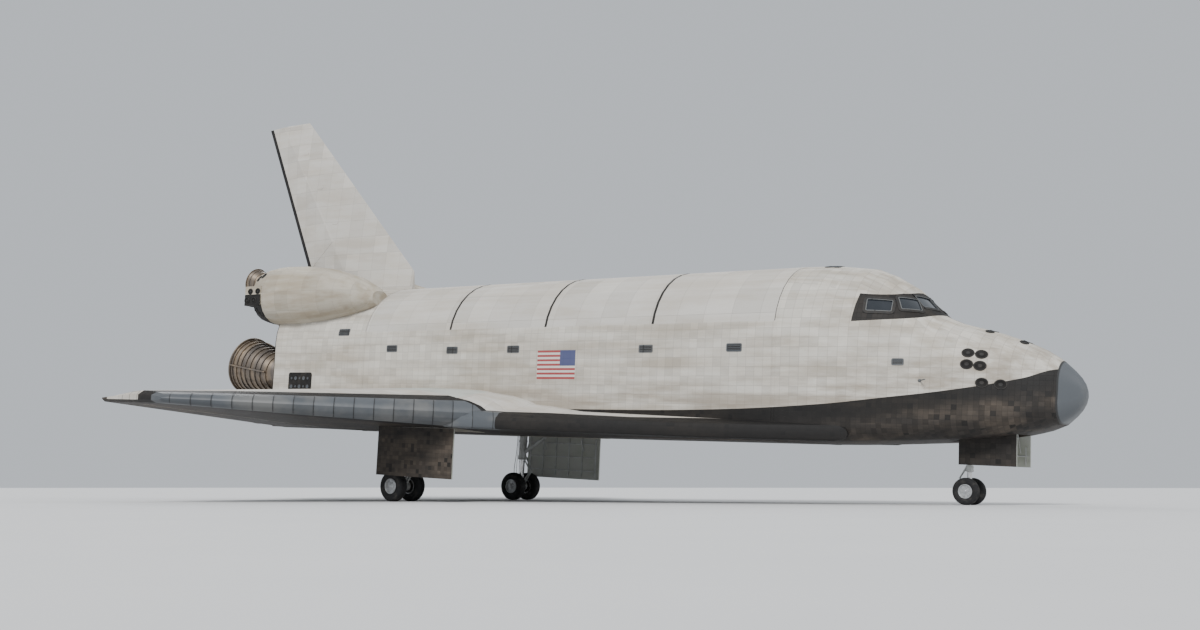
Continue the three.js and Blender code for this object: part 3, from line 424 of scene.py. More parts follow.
def makeWingSkin():
    skin = Skin("wingSkin")
    where = skin.where
    behind = where.station - (where.side + wing["leadingStation"])
    slope = (wing["crankSide"] - wing["gloveSide"]) / (wing["crankStation"] - wing["gloveStation"])
    inboard = (where.station - wing["gloveStation"]) * slope + wing["gloveSide"] - where.side
    band = ((inboard / wing["gloveBand"]) | (behind / wing["edgeBand"])) < 1
    tail = wing["tailStation"] + wing["tailSide"] * wing["tailSweep"]
    trail = tail - (where.side * wing["tailSweep"] + where.station)
    dark, rough, joints = blackTiles(skin, "belly", "bellyOld", 0.75)
    # painted shade: the black tiles go blacker towards the leading edge, standing in for the shade under the
    # edge
    dark = (behind.ease(2.4, 0.9) * 0.85).between(dark, paint["blackTile"])
    white, height = whiteSkin(skin, "blanket", 0.92, 0.5)
    # joints of the small doors over the elevon hinge
    front, _, back = wing["hingeDoors"]
    joint = where.side.joints(wing["hingeDoor"], 0.485, 0.496) * where.station.within(front, back)
    for line in wing["hingeDoors"]:
        joint = joint | where.station.off(line).ease(0.016, 0.008)
    joint = joint * (where.side > wing["hingeSide"])
    white = (joint * 0.8).between(white, paint["hingeJoint"])
    return finishSkin(skin, band | (trail < wing["tailBand"]) | where.under, (dark, rough, joints),
                      (white, height - joint), wellMask(where, "main"))


def makeGearDoorSkin():
    # black tiles outside, paint inside
    skin = Skin("gearDoorSkin")
    outward = skin.facing.parts()[1] * skin.where.level.parts()[1].math("SIGN")
    return finishSkin(skin, outward > 0.5, blackTiles(skin, "belly", "bellyOld", 0.75),
                      (wellColour(skin.marks, 0.7), skin.marks.grain))


def makeCloth(name, new, size, wear, spread, rough, *bump):
    skin = Skin(name)
    colour, height = whiteSkin(skin, new, size, wear)
    return skin.done(colour, skin.marks.grain * spread + rough, height, *bump)


skinPitch = {
    "radiator": (9.29, 4.33), "door": (8.8, 4.6),  # first station, length of a panel
    "tube": 0.095,  # between the middles of two tubes
    "capRim": (0.60, 0.63), "doorRidge": (0.22, 0.16),  # stations, sides
    "podBack": (32.95, 5.55), "podFront": (26.35, 6.35),  # station and height where the black tiles end
}


def makeRadiatorSkin():
    # bright film over panels, with the lines of the tubes under it
    skin = Skin("radiatorSkin")
    first, panel = skinPitch["radiator"]
    gap = (skin.where.station - first).joints(panel, 0.493, 0.497)
    tube = skin.where.grid.parts()[1].joints(skinPitch["tube"], 0.4, 0.5)
    film = skin.marks.patch.ease(0.4, 0.7).between(paint["film"], paint["filmOld"])
    film = gap.between((tube * 0.3).between(film, paint["filmTube"]), paint["filmGap"])
    return skin.done(film, skin.marks.grain * 0.2 + 0.14, tube - gap, 0.4, 0.003,
                     {"Metallic": 0.92 - gap * 0.8})


def makeEdgeSkin():
    # grey carbon panels with a dark seam between each two, square to the swept edge
    skin = Skin("edgeSkin")
    along = (skin.where.station + skin.where.side) * sqrt(0.5)
    seam = along.joints(wing["panel"], 0.47, 0.495)
    number = (along / wing["panel"]).math("FLOOR")
    tone = number.through("ShaderNodeTexWhiteNoise", entry="W", noise_dimensions="1D")
    worn = skin.marks.patch.ease(0.42, 0.7)
    colour = (worn * 0.55).between(paint["edge"], paint["edgeOld"]).shade(tone * 0.3 + 0.85)
    colour = seam.between(colour, paint["edgeSeam"])
    return skin.done(colour, skin.marks.grain * 0.25 + 0.33, -seam, 0.6, 0.01)


def makeNoseCapSkin():
    skin = Skin("noseCapSkin")
    rim = skin.where.station.ease(*skinPitch["capRim"])
    colour = (skin.marks.patch.ease(0.4, 0.72) * 0.5).between(paint["edge"], paint["edgeOld"])
    grain = skin.marks.grain
    return skin.done(rim.between(colour, paint["capRim"]), grain * 0.3 + 0.3, grain, 0.2, 0.004)


def makeDoorSkin():
    # blankets with a joint at each section of the doors, and the strip along their edge
    skin = Skin("doorSkin")
    colour, height = whiteSkin(skin, "blanket", 1.04, 0.45)
    first, section = skinPitch["door"]
    joint = (skin.where.station - first).joints(section, 0.4945, 0.499)
    colour = (skin.where.side.ease(*skinPitch["doorRidge"]) * 0.35).between(colour, paint["doorRidge"])
    colour = joint.between(colour, paint["doorJoint"])
    return skin.done(colour, skin.marks.grain * 0.2 + 0.75, height - joint, 0.6, 0.008)


def makePodSkin():
    # tan blankets, with black tiles at the back end round the small engines and at the front tip
    skin = Skin("podSkin")
    station, height = skin.where.station, skin.where.height
    (back, backTop), (front, frontTop) = skinPitch["podBack"], skinPitch["podFront"]
    black = (station > back) * (height < backTop) | (station < front) * (height < frontTop)
    return finishSkin(skin, black, blackTiles(skin, "blackTile", "blackOld", 0.4),
                      whiteSkin(skin, "pod", 0.8, 0.8))


finEdge = {
    "foot": (33.287, 5.918), "tip": (37.25, 13.945),  # stations and heights of the trailing edge
    "dark": 0.24,  # width of its dark strip
}


def makeFinSkin():
    # white blankets, dark along the trailing edge
    skin = Skin("finSkin")
    (station, height), (tipStation, tipHeight) = finEdge["foot"], finEdge["tip"]
    lean = (tipStation - station) / (tipHeight - height)
    black = (skin.where.station - skin.where.height * lean) > station - height * lean - finEdge["dark"]
    return finishSkin(skin, black, blackTiles(skin, "blackTile", "blackOld", 0.4),
                      whiteSkin(skin, "blanket", 0.76, 0.45))


def makeBaseSkin():
    skin = Skin("baseSkin")
    return skin.done(*blackTiles(skin, "blackTile", "bellyOld", 0.6))


def makeMetal(name, colour, dull, rough, metallic, scale, grime):
    skin = Skin(name, False)
    spots, fine = skin.position.noise(scale, 6, 0.65), skin.position.noise(scale * 22, 3, 0.6)
    colour = (spots.ease(0.42, 0.72) * grime).between(colour, dull)
    return skin.done(colour, spots * 0.3 + (rough - 0.1), fine, 0.15, 0.002, {"Metallic": metallic})


def makeNozzleSkin():
    # rings of heat colour with spots of soot
    skin = Skin("nozzleSkin", False)
    rings = skin.position.stretch((2.4, 0.25, 0.25)).noise(1.6, 4, 0.6)
    spots = skin.position.noise(3.2, 6, 0.7)
    colour = rings.ease(0.35, 0.68).between(paint["bell"], paint["bellHeat"])
    colour = (spots.ease(0.5, 0.75) * 0.7).between(colour, paint["bellSoot"])
    return skin.done(colour, spots * 0.35 + 0.28, spots, 0.25, 0.006, {"Metallic": 0.85})


def makeTyreRubber():
    skin = Skin("tyreRubber", False)
    dust, fine = skin.position.noise(5, 5, 0.65), skin.position.noise(160, 2, 0.5)
    colour = (dust.ease(0.45, 0.75) * 0.7).between(paint["rubber"], paint["rubberDust"])
    return skin.done(colour, dust * 0.25 + 0.66, fine, 0.25, 0.002)


def makeWindowGlass():
    skin = Skin("windowGlass", False)
    film = skin.position.noise(2.5, 4, 0.6)
    return skin.done(film.between(paint["glass"], paint["glassFilm"]), film * 0.06 + 0.03,
                     others={"Coat Weight": 0.6, "Coat Roughness": 0.02})


# name, colour, dull colour, roughness, metallic, scale and share of the grime
metals = {
    "gear": ("gearPaint", (0.52, 0.53, 0.52), (0.22, 0.2, 0.17), 0.42, 0.25, 4, 0.45),
    "chrome": ("polishedSteel", (0.62, 0.62, 0.62), (0.4, 0.38, 0.35), 0.16, 1.0, 8, 0.3),
    "wheel": ("wheelAlloy", (0.50, 0.51, 0.52), (0.2, 0.185, 0.16), 0.38, 0.6, 5, 0.5),
    "primer": ("greenPrimer", (0.23, 0.29, 0.13), (0.12, 0.12, 0.07), 0.55, 0.2, 3, 0.5),
    "cabin": ("cabinPaint", (0.33, 0.34, 0.34), (0.15, 0.15, 0.14), 0.55, 0.1, 5, 0.4),
    "soot": ("sootedMetal", (0.006, 0.0055, 0.005), (0.02, 0.017, 0.014), 0.55, 0.4, 9, 0.5),
    "dark": ("darkFitting", (0.03, 0.029, 0.028), (0.075, 0.065, 0.055), 0.6, 0.3, 9, 0.5),
    "hose": ("hoseRubber", (0.02, 0.02, 0.021), (0.06, 0.055, 0.05), 0.6, 0.0, 20, 0.5),
}
finish = {
    "hull": makeHullSkin(), "wing": makeWingSkin(), "edge": makeEdgeSkin(), "noseCap": makeNoseCapSkin(),
    "blanket": makeCloth("blanketSkin", "blanket", 0.92, 0.6, 0.2, 0.75, 0.6, 0.008),
    "door": makeDoorSkin(), "pod": makePodSkin(), "fin": makeFinSkin(),
    "base": makeBaseSkin(), "nozzle": makeNozzleSkin(), "tyre": makeTyreRubber(), "glass": makeWindowGlass(),
    "radiator": makeRadiatorSkin(), "liner": makeCloth("bayLiner", "liner", 0.51, 0.5, 0.25, 0.5, 0.8, 0.01),
    "gearDoor": makeGearDoorSkin(), **{look: makeMetal(*row) for look, row in metals.items()},
}
print("materials made:", len(finish))


def makeSmoothing():
    # joins the loose triangles of a CAD node, smooths its round faces and notes which way each face looks
    group = bpy.data.node_groups.new("roundFaces", "GeometryNodeTree")
    socket, geometry = group.interface.new_socket, "NodeSocketGeometry"
    socket(name="Geometry", in_out="INPUT", socket_type=geometry)
    socket(name="Angle", in_out="INPUT", socket_type="NodeSocketFloat").default_value = radians(28)
    socket(name="Geometry", in_out="OUTPUT", socket_type=geometry)
    start = put(group, "NodeGroupInput")
    shape, angle = (Wire(group, start.outputs[label]) for label in ("Geometry", "Angle"))
    bend = Wire(group, put(group, "GeometryNodeInputMeshEdgeAngle").outputs["Unsigned Angle"])
    facing = Wire(group, put(group, "GeometryNodeInputNormal").outputs[0])
    smooth = bend.through("FunctionNodeCompare", {1: angle}, operation="LESS_THAN")
    shape = shape.through("GeometryNodeMergeByDistance", {"Distance": 0.0001})
    shape = shape.through("GeometryNodeSetShadeSmooth", domain="FACE")
    shape = shape.through("GeometryNodeSetShadeSmooth", {"Shade Smooth": smooth}, domain="EDGE")
    shape = shape.through("GeometryNodeStoreNamedAttribute", {"Name": "facing", "Value": facing},
                          data_type="FLOAT_VECTOR", domain="FACE")
    put(group, "NodeGroupOutput", {"Geometry": shape})
    return group


smoothing = makeSmoothing()
# the finish of each CAD node, by the start of its name
dress = {
    "noseCap": "nose_cap", "glass": "windshield_glass overhead_glass", "cabin": "flight_deck",
    "hull": "nose_section forward_thruster_module forward_fuselage crew_hatch mid_fuselage aft_fuselage",
    "door": "payload_bay_door", "radiator": "radiator", "primer": "engine_block", "base": "base_heat_shield",
    "nozzle": "main_nozzle pod_nozzle", "pod": "engine_pod", "wing": "body_flap wing elevon",
    "fin": "fin rudder_post speed_brake", "edge": "leading_edge",
    "gear": "main_gear_leg nose_gear_leg nose_gear_fork", "gearDoor": "main_gear_door nose_gear_door",
    "wheel": "main_wheels nose_wheels", "tyre": "main_tyre nose_tyre",
}


def dressNodes():
    looks = {start: look for look, starts in dress.items() for start in starts.split()}
    for name, node in nodes.items():
        start = max((start for start in looks if name.startswith(start)), key=len)
        node.data.materials.clear()
        node.data.materials.append(finish[looks[start]])
        node.modifiers.new("roundFaces", "NODES").node_group = smoothing


dressNodes()
print("CAD nodes dressed:", len(nodes))

surfaces = {}


def surfaceOf(*names):
    # the faces of some CAD nodes, to lay pieces on
    if names not in surfaces:
        bm = bmesh.new()
        for name in names:
            bm.from_mesh(nodes[name].data)
        surfaces[names] = BVHTree.FromBMesh(bm)
        bm.free()
    return surfaces[names]


def onSurface(surface, start, ray, upwards=up):
    # a place on the surface, its Z square to it
    hit, normal, _, _ = surface.ray_cast(start, ray)
    return seat(hit, -normal if normal.dot(ray) > 0 else normal, upwards)


def onSide(surface, side, station, height):
    return onSurface(surface, place(station, side * 9, height), Vector((0, -side, 0)))


def onTop(surface, station, side):
    return onSurface(surface, place(station, side, 20), -up, aft)


def below(surface, station, side):
    return onSurface(surface, place(station, side, -4), up, aft)


def axisOf(matrix):
    return matrix.to_3x3() @ Vector((0, 0, 1))


def allOf(part):
    return [*part.verts, *part.edges, *part.faces]


def vertsIn(geometry):
    return [one for one in geometry if isinstance(one, bmesh.types.BMVert)]


def hug(part, matrix, surface, reach=0.8):
    # lays a part on a surface: a point's own height stays its height over the surface
    axis = axisOf(matrix)
    for vert in part.verts:
        x, y, z = vert.co
        base = matrix @ Vector((x, y, 0))
        hit = surface.ray_cast(base + axis * reach, -axis, 2 * reach)[0]
        vert.co = base + axis * (z + ((hit - base).dot(axis) if hit else 0))
    return part


def moved(part, matrix):
    bmesh.ops.transform(part, matrix=matrix, verts=part.verts)
    return part


def spun(profile, steps=24, closed=False):
    # turned about Z from (radius, distance) pairs
    part = bmesh.new()
    verts = [part.verts.new((radius, 0, along)) for radius, along in profile]
    pairs = list(zip(verts, verts[1:])) + ([(verts[-1], verts[0])] if closed else [])
    edges = [part.edges.new(pair) for pair in pairs]
    bmesh.ops.spin(part, geom=verts + edges, axis=(0, 0, 1), cent=(0, 0, 0), angle=2 * pi, steps=steps,
                   use_merge=True)
    bmesh.ops.remove_doubles(part, verts=part.verts, dist=1e-5)
    return part


def ring(inner, outer, low, high, steps, softness=0.3):
    # a closed ring with softened outer corners
    soft = min(outer - inner, high - low) * softness
    return spun([(inner, low), (inner, high - soft), (inner + soft, high), (outer - soft, high),
                 (outer, high - soft), (outer, low)], steps, True)


def block(size, bevel, spot):
    part = bmesh.new()
    bmesh.ops.create_cube(part, size=1, matrix=Matrix.Diagonal((*size, 1)))
    bmesh.ops.bevel(part, geom=list(part.edges), offset=bevel, affect="EDGES", segments=2, profile=0.5,
                    material=-1)
    return moved(part, spot)


def plate(width, height, rise, corner, border=0, cell=0, sink=0.01):
    # a flat plate with round corners, or a frame where it has a border, from sink below to rise above; it is
    # cut into cells where it has to bend
    part = bmesh.new()
    bmesh.ops.create_grid(part, x_segments=1, y_segments=1, size=0.5)
    moved(part, shift(0, 0, -sink) @ Matrix.Diagonal((width, height, 1, 1)))
    bmesh.ops.bevel(part, geom=list(part.verts), offset=corner, affect="VERTICES", segments=4, profile=0.5,
                    material=-1)
    if border:
        rim = bmesh.ops.inset_region(part, faces=list(part.faces), thickness=border, use_even_offset=True,
                                     use_boundary=True)["faces"]
        bmesh.ops.delete(part, geom=[face for face in part.faces if face not in rim], context="FACES")
    made = bmesh.ops.extrude_face_region(part, geom=list(part.faces))["geom"]
    bmesh.ops.translate(part, vec=(0, 0, rise + sink), verts=vertsIn(made))
    for axis, length in ((0, width), (1, height)):
        count = int(length / cell) + 1 if cell else 1
        for i in range(1, count):
            spot, normal = Vector(), Vector()
            spot[axis], normal[axis] = length * (i / count - 0.5), 1
            bmesh.ops.bisect_plane(part, geom=allOf(part), plane_co=spot, plane_no=normal)
    return part


def lay(spot, surface, *sizes, y=0):
    # a plate laid on a surface, off the middle of the spot by y
    return hug(moved(plate(*sizes), shift(0, y, 0)), spot, surface)


def show(name, data, look, body):
    piece = bpy.data.objects.new(name, data)
    scene.collection.objects.link(piece)
    data.materials.append(finish[look])
    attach(piece, body)
    return piece


def newPiece(name, parts, look, body="root", spot=Matrix()):
    # one object from parts that are in place, or that all go to one spot
    whole, mesh = bmesh.new(), bpy.data.meshes.new(name)
    for part in parts:
        moved(part, spot).to_mesh(mesh)
        part.free()
        whole.from_mesh(mesh)
    bmesh.ops.recalc_face_normals(whole, faces=whole.faces)
    whole.to_mesh(mesh)
    whole.free()
    piece = show(name, mesh, look, body)
    piece.modifiers.new("roundFaces", "NODES").node_group = smoothing
    return piece


def pipes(name, rows, look, body="root", side=0, smooth=False):
    # round bars and pipes as one curve: each row is a radius and its points by station, side and height
    curve = bpy.data.curves.new(name, "CURVE")
    curve.dimensions, curve.bevel_depth, curve.bevel_resolution = "3D", 1, 3
    curve.use_fill_caps, curve.resolution_u = True, 5
    for radius, *spots in rows:
        line = curve.splines.new("NURBS" if smooth else "POLY")
        line.points.add(len(spots) - 1)
        for point, spot in zip(line.points, spots):
            if not isinstance(spot, Vector):
                station, across, height = spot
                spot = place(station, side + across, height)
            point.co, point.radius = (*spot, 1), radius
        if smooth:
            line.order_u = min(4, len(spots))
            line.use_endpoint_u = True
    show(name, curve, look, body)


def bandsOn(name, planes, width, lift, keep):
    # raised strips where planes cut a CAD node
    whole, strips = bmesh.new(), []
    whole.from_mesh(nodes[name].data)
    bmesh.ops.remove_doubles(whole, verts=whole.verts, dist=1e-4)
    for spot, normal in planes:
        strip = whole.copy()
        for side in (1, -1):
            bmesh.ops.bisect_plane(strip, geom=allOf(strip), dist=1e-6, clear_outer=True,
                                   plane_co=spot + normal * side * width / 2, plane_no=normal * side)
        bmesh.ops.delete(strip, geom=[face for face in strip.faces if not keep(face)], context="FACES")
        strip.normal_update()
        outward = {tuple(round(value, 4) for value in vert.co): vert.normal.copy() for vert in strip.verts}
        if strip.faces:
            for vert in vertsIn(bmesh.ops.extrude_face_region(strip, geom=list(strip.faces))["geom"]):
                vert.co += outward[tuple(round(value, 4) for value in vert.co)] * lift
        strips.append(strip)
    whole.free()
    return strips


windows = {
    "eye": place(visor["eye"][0], 0, visor["eye"][1]),
    "rows": [(19, 25, 0.88, 0.64), (48, 18, 0.82, 0.62), (79, 14, 0.90, 0.56)],  # turn, rise, width, height
    "roof": (7.8, 0.46, 0.5),  # station, side, size
    "lap": 0.08, "border": 0.105, "rise": 0.016, "corner": 0.08, "cell": 0.12, "sink": 0.04,
    "seal": 0.02, "paneDepth": 0.016, "reach": 0.05, "neighbour": radians(42),  # widest angle to a neighbour
}


def windowPlaces():
    # each opening: a place with its Z outwards, its width and height, and if it is in the roof
    for turn, rise, width, height in windows["rows"]:
        for side in (1, -1):
            a, b = radians(turn), radians(rise)
            axis = direction(-cos(a) * cos(b), side * sin(a) * cos(b), sin(b))
            upwards = direction(cos(a) * sin(b), -side * sin(a) * sin(b), cos(b))
            yield seat(windows["eye"], axis, upwards), width, height, False
    station, across, size = windows["roof"]
    for side in (1, -1):
        yield seat(place(station, side * across, 4), up, -aft), size, size, True


def closedShell(openings, slack=0.002, nearest=0.5):
    # the crew section's skin with its windows filled
    shell = bmesh.new()
    shell.from_mesh(nodes["forward_fuselage"].data)
    bmesh.ops.remove_doubles(shell, verts=shell.verts, dist=1e-4)
    for matrix, width, height, _ in openings:
        local, walls = matrix.inverted(), []
        for face in shell.faces:
            spots = [local @ vert.co for vert in face.verts]
            if all(abs(spot.x) < width / 2 + slack and abs(spot.y) < height / 2 + slack and spot.z > nearest
                   for spot in spots):
                walls.append(face)
        bmesh.ops.delete(shell, geom=walls, context="FACES")
    bmesh.ops.holes_fill(shell, edges=[edge for edge in shell.edges if edge.is_boundary], sides=0)
    surface = BVHTree.FromBMesh(shell)
    shell.free()
    return surface


def powers(x, y):
    return 1, x, y, x * x, x * y, y * y


def fitAround(shell, matrix, width, height):
    # the smooth curve nearest to the skin around an opening, so that no facet shows in its frame
    axis = axisOf(matrix)
    rows, heights, shares = [], [], [i / 6 - 1 for i in range(13)]
    for x in (share * (width / 2 + windows["reach"]) for share in shares):
        for y in (share * (height / 2 + windows["reach"]) for share in shares):
            base = matrix @ Vector((x, y, 0))
            hit = shell.ray_cast(base + axis, -axis, 2)[0]
            if hit and max(abs(x) - width / 2, abs(y) - height / 2) > 0:
                rows.append(powers(x, y))
                heights.append((hit - base).dot(axis))
    return numpy.linalg.lstsq(numpy.array(rows), numpy.array(heights), rcond=None)[0]


def fitted(part, matrix, terms):
    # lays a part on a fitted curve
    for vert in part.verts:
        x, y, z = vert.co
        vert.co = matrix @ Vector((x, y, z + sum(term * one for term, one in zip(terms, powers(x, y)))))
    return part


def mitred(part, axis, others):
    # ends a frame halfway to its neighbours, as seen from the eye that they are aimed from
    for other in others:
        if radians(1) < axis.angle(other) < windows["neighbour"]:
            bmesh.ops.bisect_plane(part, geom=allOf(part), plane_co=windows["eye"], plane_no=other - axis,
                                   clear_outer=True)
    return part


def makeWindows():
    openings = list(windowPlaces())
    axes = [axisOf(matrix) for matrix, _, _, isRoof in openings if not isRoof]
    shell = closedShell(openings)
    lap, border, rise, corner, cell = (windows[key] for key in ("lap", "border", "rise", "corner", "cell"))
    frames, seals, panes = [], [], []
    for aimed, width, height, isRoof in openings:
        axis = axisOf(aimed)
        hit = shell.ray_cast(aimed @ Vector((0, 0, 6)), -axis)[0]
        aimed = Matrix.Translation(hit - aimed.translation) @ aimed
        wide, tall = width - 2 * lap, height - 2 * lap
        terms = fitAround(shell, aimed, width, height)
        surround = plate(wide + 2 * border, tall + 2 * border, rise, corner + border * 0.5, border, cell,
                         windows["sink"])
        seal = plate(wide + 0.03, tall + 0.03, rise + 0.004, corner * 0.6, windows["seal"], cell)
        pane = plate(width - 0.02, height - 0.02, -windows["paneDepth"], 0.05, 0, cell, 0.03)
        frames.append(mitred(fitted(surround, aimed, terms), axis, [] if isRoof else axes))
        seals.append(fitted(seal, aimed, terms))
        panes.append(fitted(pane, aimed, terms))
    newPiece("windowFrames", frames, "dark")
    newPiece("windowSeals", seals, "edge")
    newPiece("outerPanes", panes, "glass")


thrusters = {
    "radius": 0.125, "rim": 0.026, "rise": 0.02, "stretch": 1.25,
    # station and height on each side of the nose, station and side on top
    "noseSide": [(2.62, 2.86), (2.98, 2.90), (2.62, 2.52), (2.98, 2.56), (2.05, 1.98), (2.55, 2.02)],
    "noseTop": [(2.72, -0.42), (2.72, 0), (2.72, 0.42), (1.72, -0.34), (1.72, 0), (1.72, 0.34)],
    "podSide": [(33.12, 5.68), (33.36, 5.30), (33.60, 5.68), (33.80, 5.30)],
    "podTop": [(33.15, 3.05), (33.45, 3.05), (33.75, 3.05)],
    "podBack": [(2.95, 5.3), (2.95, 5.68)],  # side and height
}


def thrusterPort(spot, surface, size=1.0):
    # a bowl, its throat and its rim
    radius, rim = thrusters["radius"] * size, thrusters["rim"] * size
    bowl = spun([(0, 0.003), (0.35 * radius, 0.003), (0.45 * radius, 0.006), (radius, 0.012), (radius, -0.03),
                 (0, -0.03)], 20)
    throat = spun([(0, 0.008), (0.22 * radius, 0.008), (0.34 * radius, 0.012), (0.42 * radius, 0.008),
                   (0.42 * radius, 0.001), (0, 0.001)], 16)
    edge = ring(radius * 0.97, radius + rim, -0.03, thrusters["rise"], 24)
    stretched = Matrix.Diagonal((thrusters["stretch"], 1, 1, 1))
    return [hug(moved(part, stretched), spot, surface) for part in (bowl, throat, edge)]


def showThrusters(where, suffix, ports):
    newPiece(where + "ThrusterBowls" + suffix, [port[0] for port in ports], "soot")
    newPiece(where + "ThrusterRims" + suffix, [part for port in ports for part in port[1:]], "dark")


def makeThrusters():
    nose = surfaceOf("nose_section", "forward_thruster_module", "forward_fuselage")
    ports = [thrusterPort(onSide(nose, side, *spot), nose)
             for side in (1, -1) for spot in thrusters["noseSide"]]
    ports += [thrusterPort(onTop(nose, *spot), nose, 0.9) for spot in thrusters["noseTop"]]
    showThrusters("nose", "", ports)
    for name, side in sides:
        pod = surfaceOf("engine_pod_" + name)
        spots = [onSide(pod, side, *spot) for spot in thrusters["podSide"]]
        for station, across in thrusters["podTop"]:
            spots += [onTop(pod, station, side * across), below(pod, station, side * across)]
        ports = [thrusterPort(spot, pod, 0.85) for spot in spots]
        for across, height in thrusters["podBack"]:
            ports.append(thrusterPort(onSurface(pod, place(38, side * across, height), -aft), pod, 0.8))
        showThrusters("pod", "_" + name, ports)


hatchSet = {"station": 6.2, "height": 2.54, "window": 0.13, "edge": 0.49, "frame": 0.535, "bolts": 20,
            "boltCircle": 0.42}
lockerSet = {"columns": 6, "rows": 5, "first": (5.15, 1.02, 1.75), "pitch": (0.42, 0.36),
             "size": (0.4, 0.5, 0.33), "handle": (0.12, 0.03, 0.025), "handleOut": 0.265}


def makeHatch():
    surface, shell = surfaceOf("crew_hatch"), surfaceOf("forward_fuselage")
    spot = onSide(surface, 1, hatchSet["station"], hatchSet["height"])
    window, edge, around, circle = (hatchSet[key] for key in ("window", "edge", "frame", "boltCircle"))
    pane = [(0, 0.007), (window * 1.02, 0.007), (window * 1.02, -0.02), (0, -0.02)]
    bolt = [(0, 0.009), (0.009, 0.007), (0.012, 0.002), (0.012, -0.01), (0, -0.01)]
    for name, parts, look in (
        ("hatchRings", [ring(window, window + 0.05, -0.02, 0.014, 32),
                        ring(edge - 0.04, edge, -0.02, 0.008, 48)], "edge"),
        ("hatchWindow", [spun(pane, 32)], "glass"),
        ("hatchBolts", [moved(spun(bolt, 8), shift(cos(turn) * circle, sin(turn) * circle, 0))
                        for turn in turns(hatchSet["bolts"])], "gear"),
    ):
        newPiece(name, [hug(part, spot, surface) for part in parts], look, "crew_hatch")
    newPiece("hatchSurround", [hug(ring(around, around + 0.05, -0.02, 0.007, 48), spot, shell)], "edge")
    lockers = []
    (station, across, height), (along, above) = lockerSet["first"], lockerSet["pitch"]
    for column in range(lockerSet["columns"]):
        for row in range(lockerSet["rows"]):
            spot = place(station + column * along, across, height + row * above)
            handle = seat(spot + Vector((0, lockerSet["handleOut"], 0)), up)
            lockers += [block(lockerSet["size"], 0.018, seat(spot, up)),
                        block(lockerSet["handle"], 0.006, handle)]
    newPiece("middeckLockers", lockers, "cabin")


fittings = {
    # station, height, width, height of the plate, on both sides
    "vents": [(10.2, 3.05, 0.5, 0.2), (13.6, 3.05, 0.5, 0.2), (19.4, 3.1, 0.5, 0.2), (22.4, 3.1, 0.5, 0.2),
              (25.6, 3.2, 0.5, 0.2), (28.4, 3.9, 0.55, 0.22), (4.9, 2.6, 0.3, 0.14)],
    "panels": [(4.35, 1.9, 0.5, 0.4), (7.6, 1.9, 0.62, 0.45), (28.6, 2.6, 0.8, 0.6), (30.9, 3.4, 0.7, 0.9),
               (12.0, 1.55, 0.6, 0.4), (20.0, 1.7, 0.7, 0.42)],
    "umbilical": (30.75, 1.85, 1.35, 0.82),
    "ports": (5, 2, 0.24, 0.34),  # columns and rows on the umbilical plate, and how far apart
    "starTracker": [(3.95, 0.5), (3.95, 1.0)],  # station and side, port only
    "fuelDoors": (29.9, 1.25, 1.27),  # station, side, size of the square belly doors
    "probe": (4.25, 2.05, 0.34),  # station, height, length
}
hullNodes = ("nose_section", "forward_thruster_module", "forward_fuselage", "mid_fuselage", "aft_fuselage",
             "payload_bay_door_left", "payload_bay_door_right")


def makeFittings():
    slits, rims, doors, plates = [], [], [], []
    skin = surfaceOf(*hullNodes)
    for side in (1, -1):
        for station, height, wide, tall in fittings["vents"]:
            spot = onSide(skin, side, station, height)
            rims.append(lay(spot, skin, wide + 0.07, tall + 0.07, 0.012, 0.05, 0.04, 0.2))
            slits.append(lay(spot, skin, wide, tall, 0.005, 0.02, 0, 0.2))
            rims += [lay(spot, skin, wide - 0.04, 0.018, 0.011, 0.006, 0, 0.2, y=i * tall * 0.28)
                     for i in (-1, 0, 1)]
        for station, height, wide, tall in fittings["panels"]:
            doors.append(lay(onSide(skin, side, station, height), skin, wide, tall, 0.006, 0.05, 0, 0.25))
        station, height, wide, tall = fittings["umbilical"]
        spot = onSide(skin, side, station, height)
        plates.append(lay(spot, skin, wide, tall, 0.03, 0.09, 0, 0.3))
        columns, rows, apart, above = fittings["ports"]
        for column in range(columns):
            for row in range(rows):
                radius = 0.045 if (column + row) % 2 else 0.075
                port = spun([(0, 0.036), (0.5 * radius, 0.036), (0.6 * radius, 0.05), (radius, 0.05),
                             (radius, 0.02), (0, 0.02)], 16)
                rims.append(hug(moved(port, shift((column - 2) * apart, (row - 0.5) * above, 0)), spot, skin))
        station, across, size = fittings["fuelDoors"]
        doors.append(lay(below(skin, station, side * across), skin, size, size, 0.008, 0.08, 0, 0.4))
        station, height, length = fittings["probe"]
        tube = spun([(0, -0.02), (0.05, -0.02), (0.045, 0.03), (0.02, 0.06), (0.016, length),
                     (0, length + 0.02)], 12)
        rims.append(moved(tube, onSide(skin, side, station, height) @ Matrix.Rotation(radians(35), 4, "Y")))
    for station, across in fittings["starTracker"]:
        spot = onTop(skin, station, across)
        rims.append(lay(spot, skin, 0.36, 0.36, 0.014, 0.04, 0.03, 0.06))
        slits.append(lay(spot, skin, 0.3, 0.3, 0.009, 0.03, 0, 0.06))
    newPiece("ventSlots", slits, "dark")
    newPiece("fittingRims", rims, "edge")
    newPiece("accessDoors", doors, "hull")
    newPiece("umbilicalPlates", plates, "base")


seams = {
    "hull": [("nose_section", 0.70, 0.05), ("nose_section", 3.57, 0.03), ("forward_fuselage", 8.74, 0.05),
             ("mid_fuselage", 8.84, 0.05), ("mid_fuselage", 27.16, 0.05), ("aft_fuselage", 27.25, 0.05)],
    "doors": [13.4, 18.0, 22.6], "doorWidth": 0.09, "lift": 0.008,
    "panels": range(26, 40), "panelWidth": 0.035, "panelLift": 0.012,  # leading edge panels by number
}


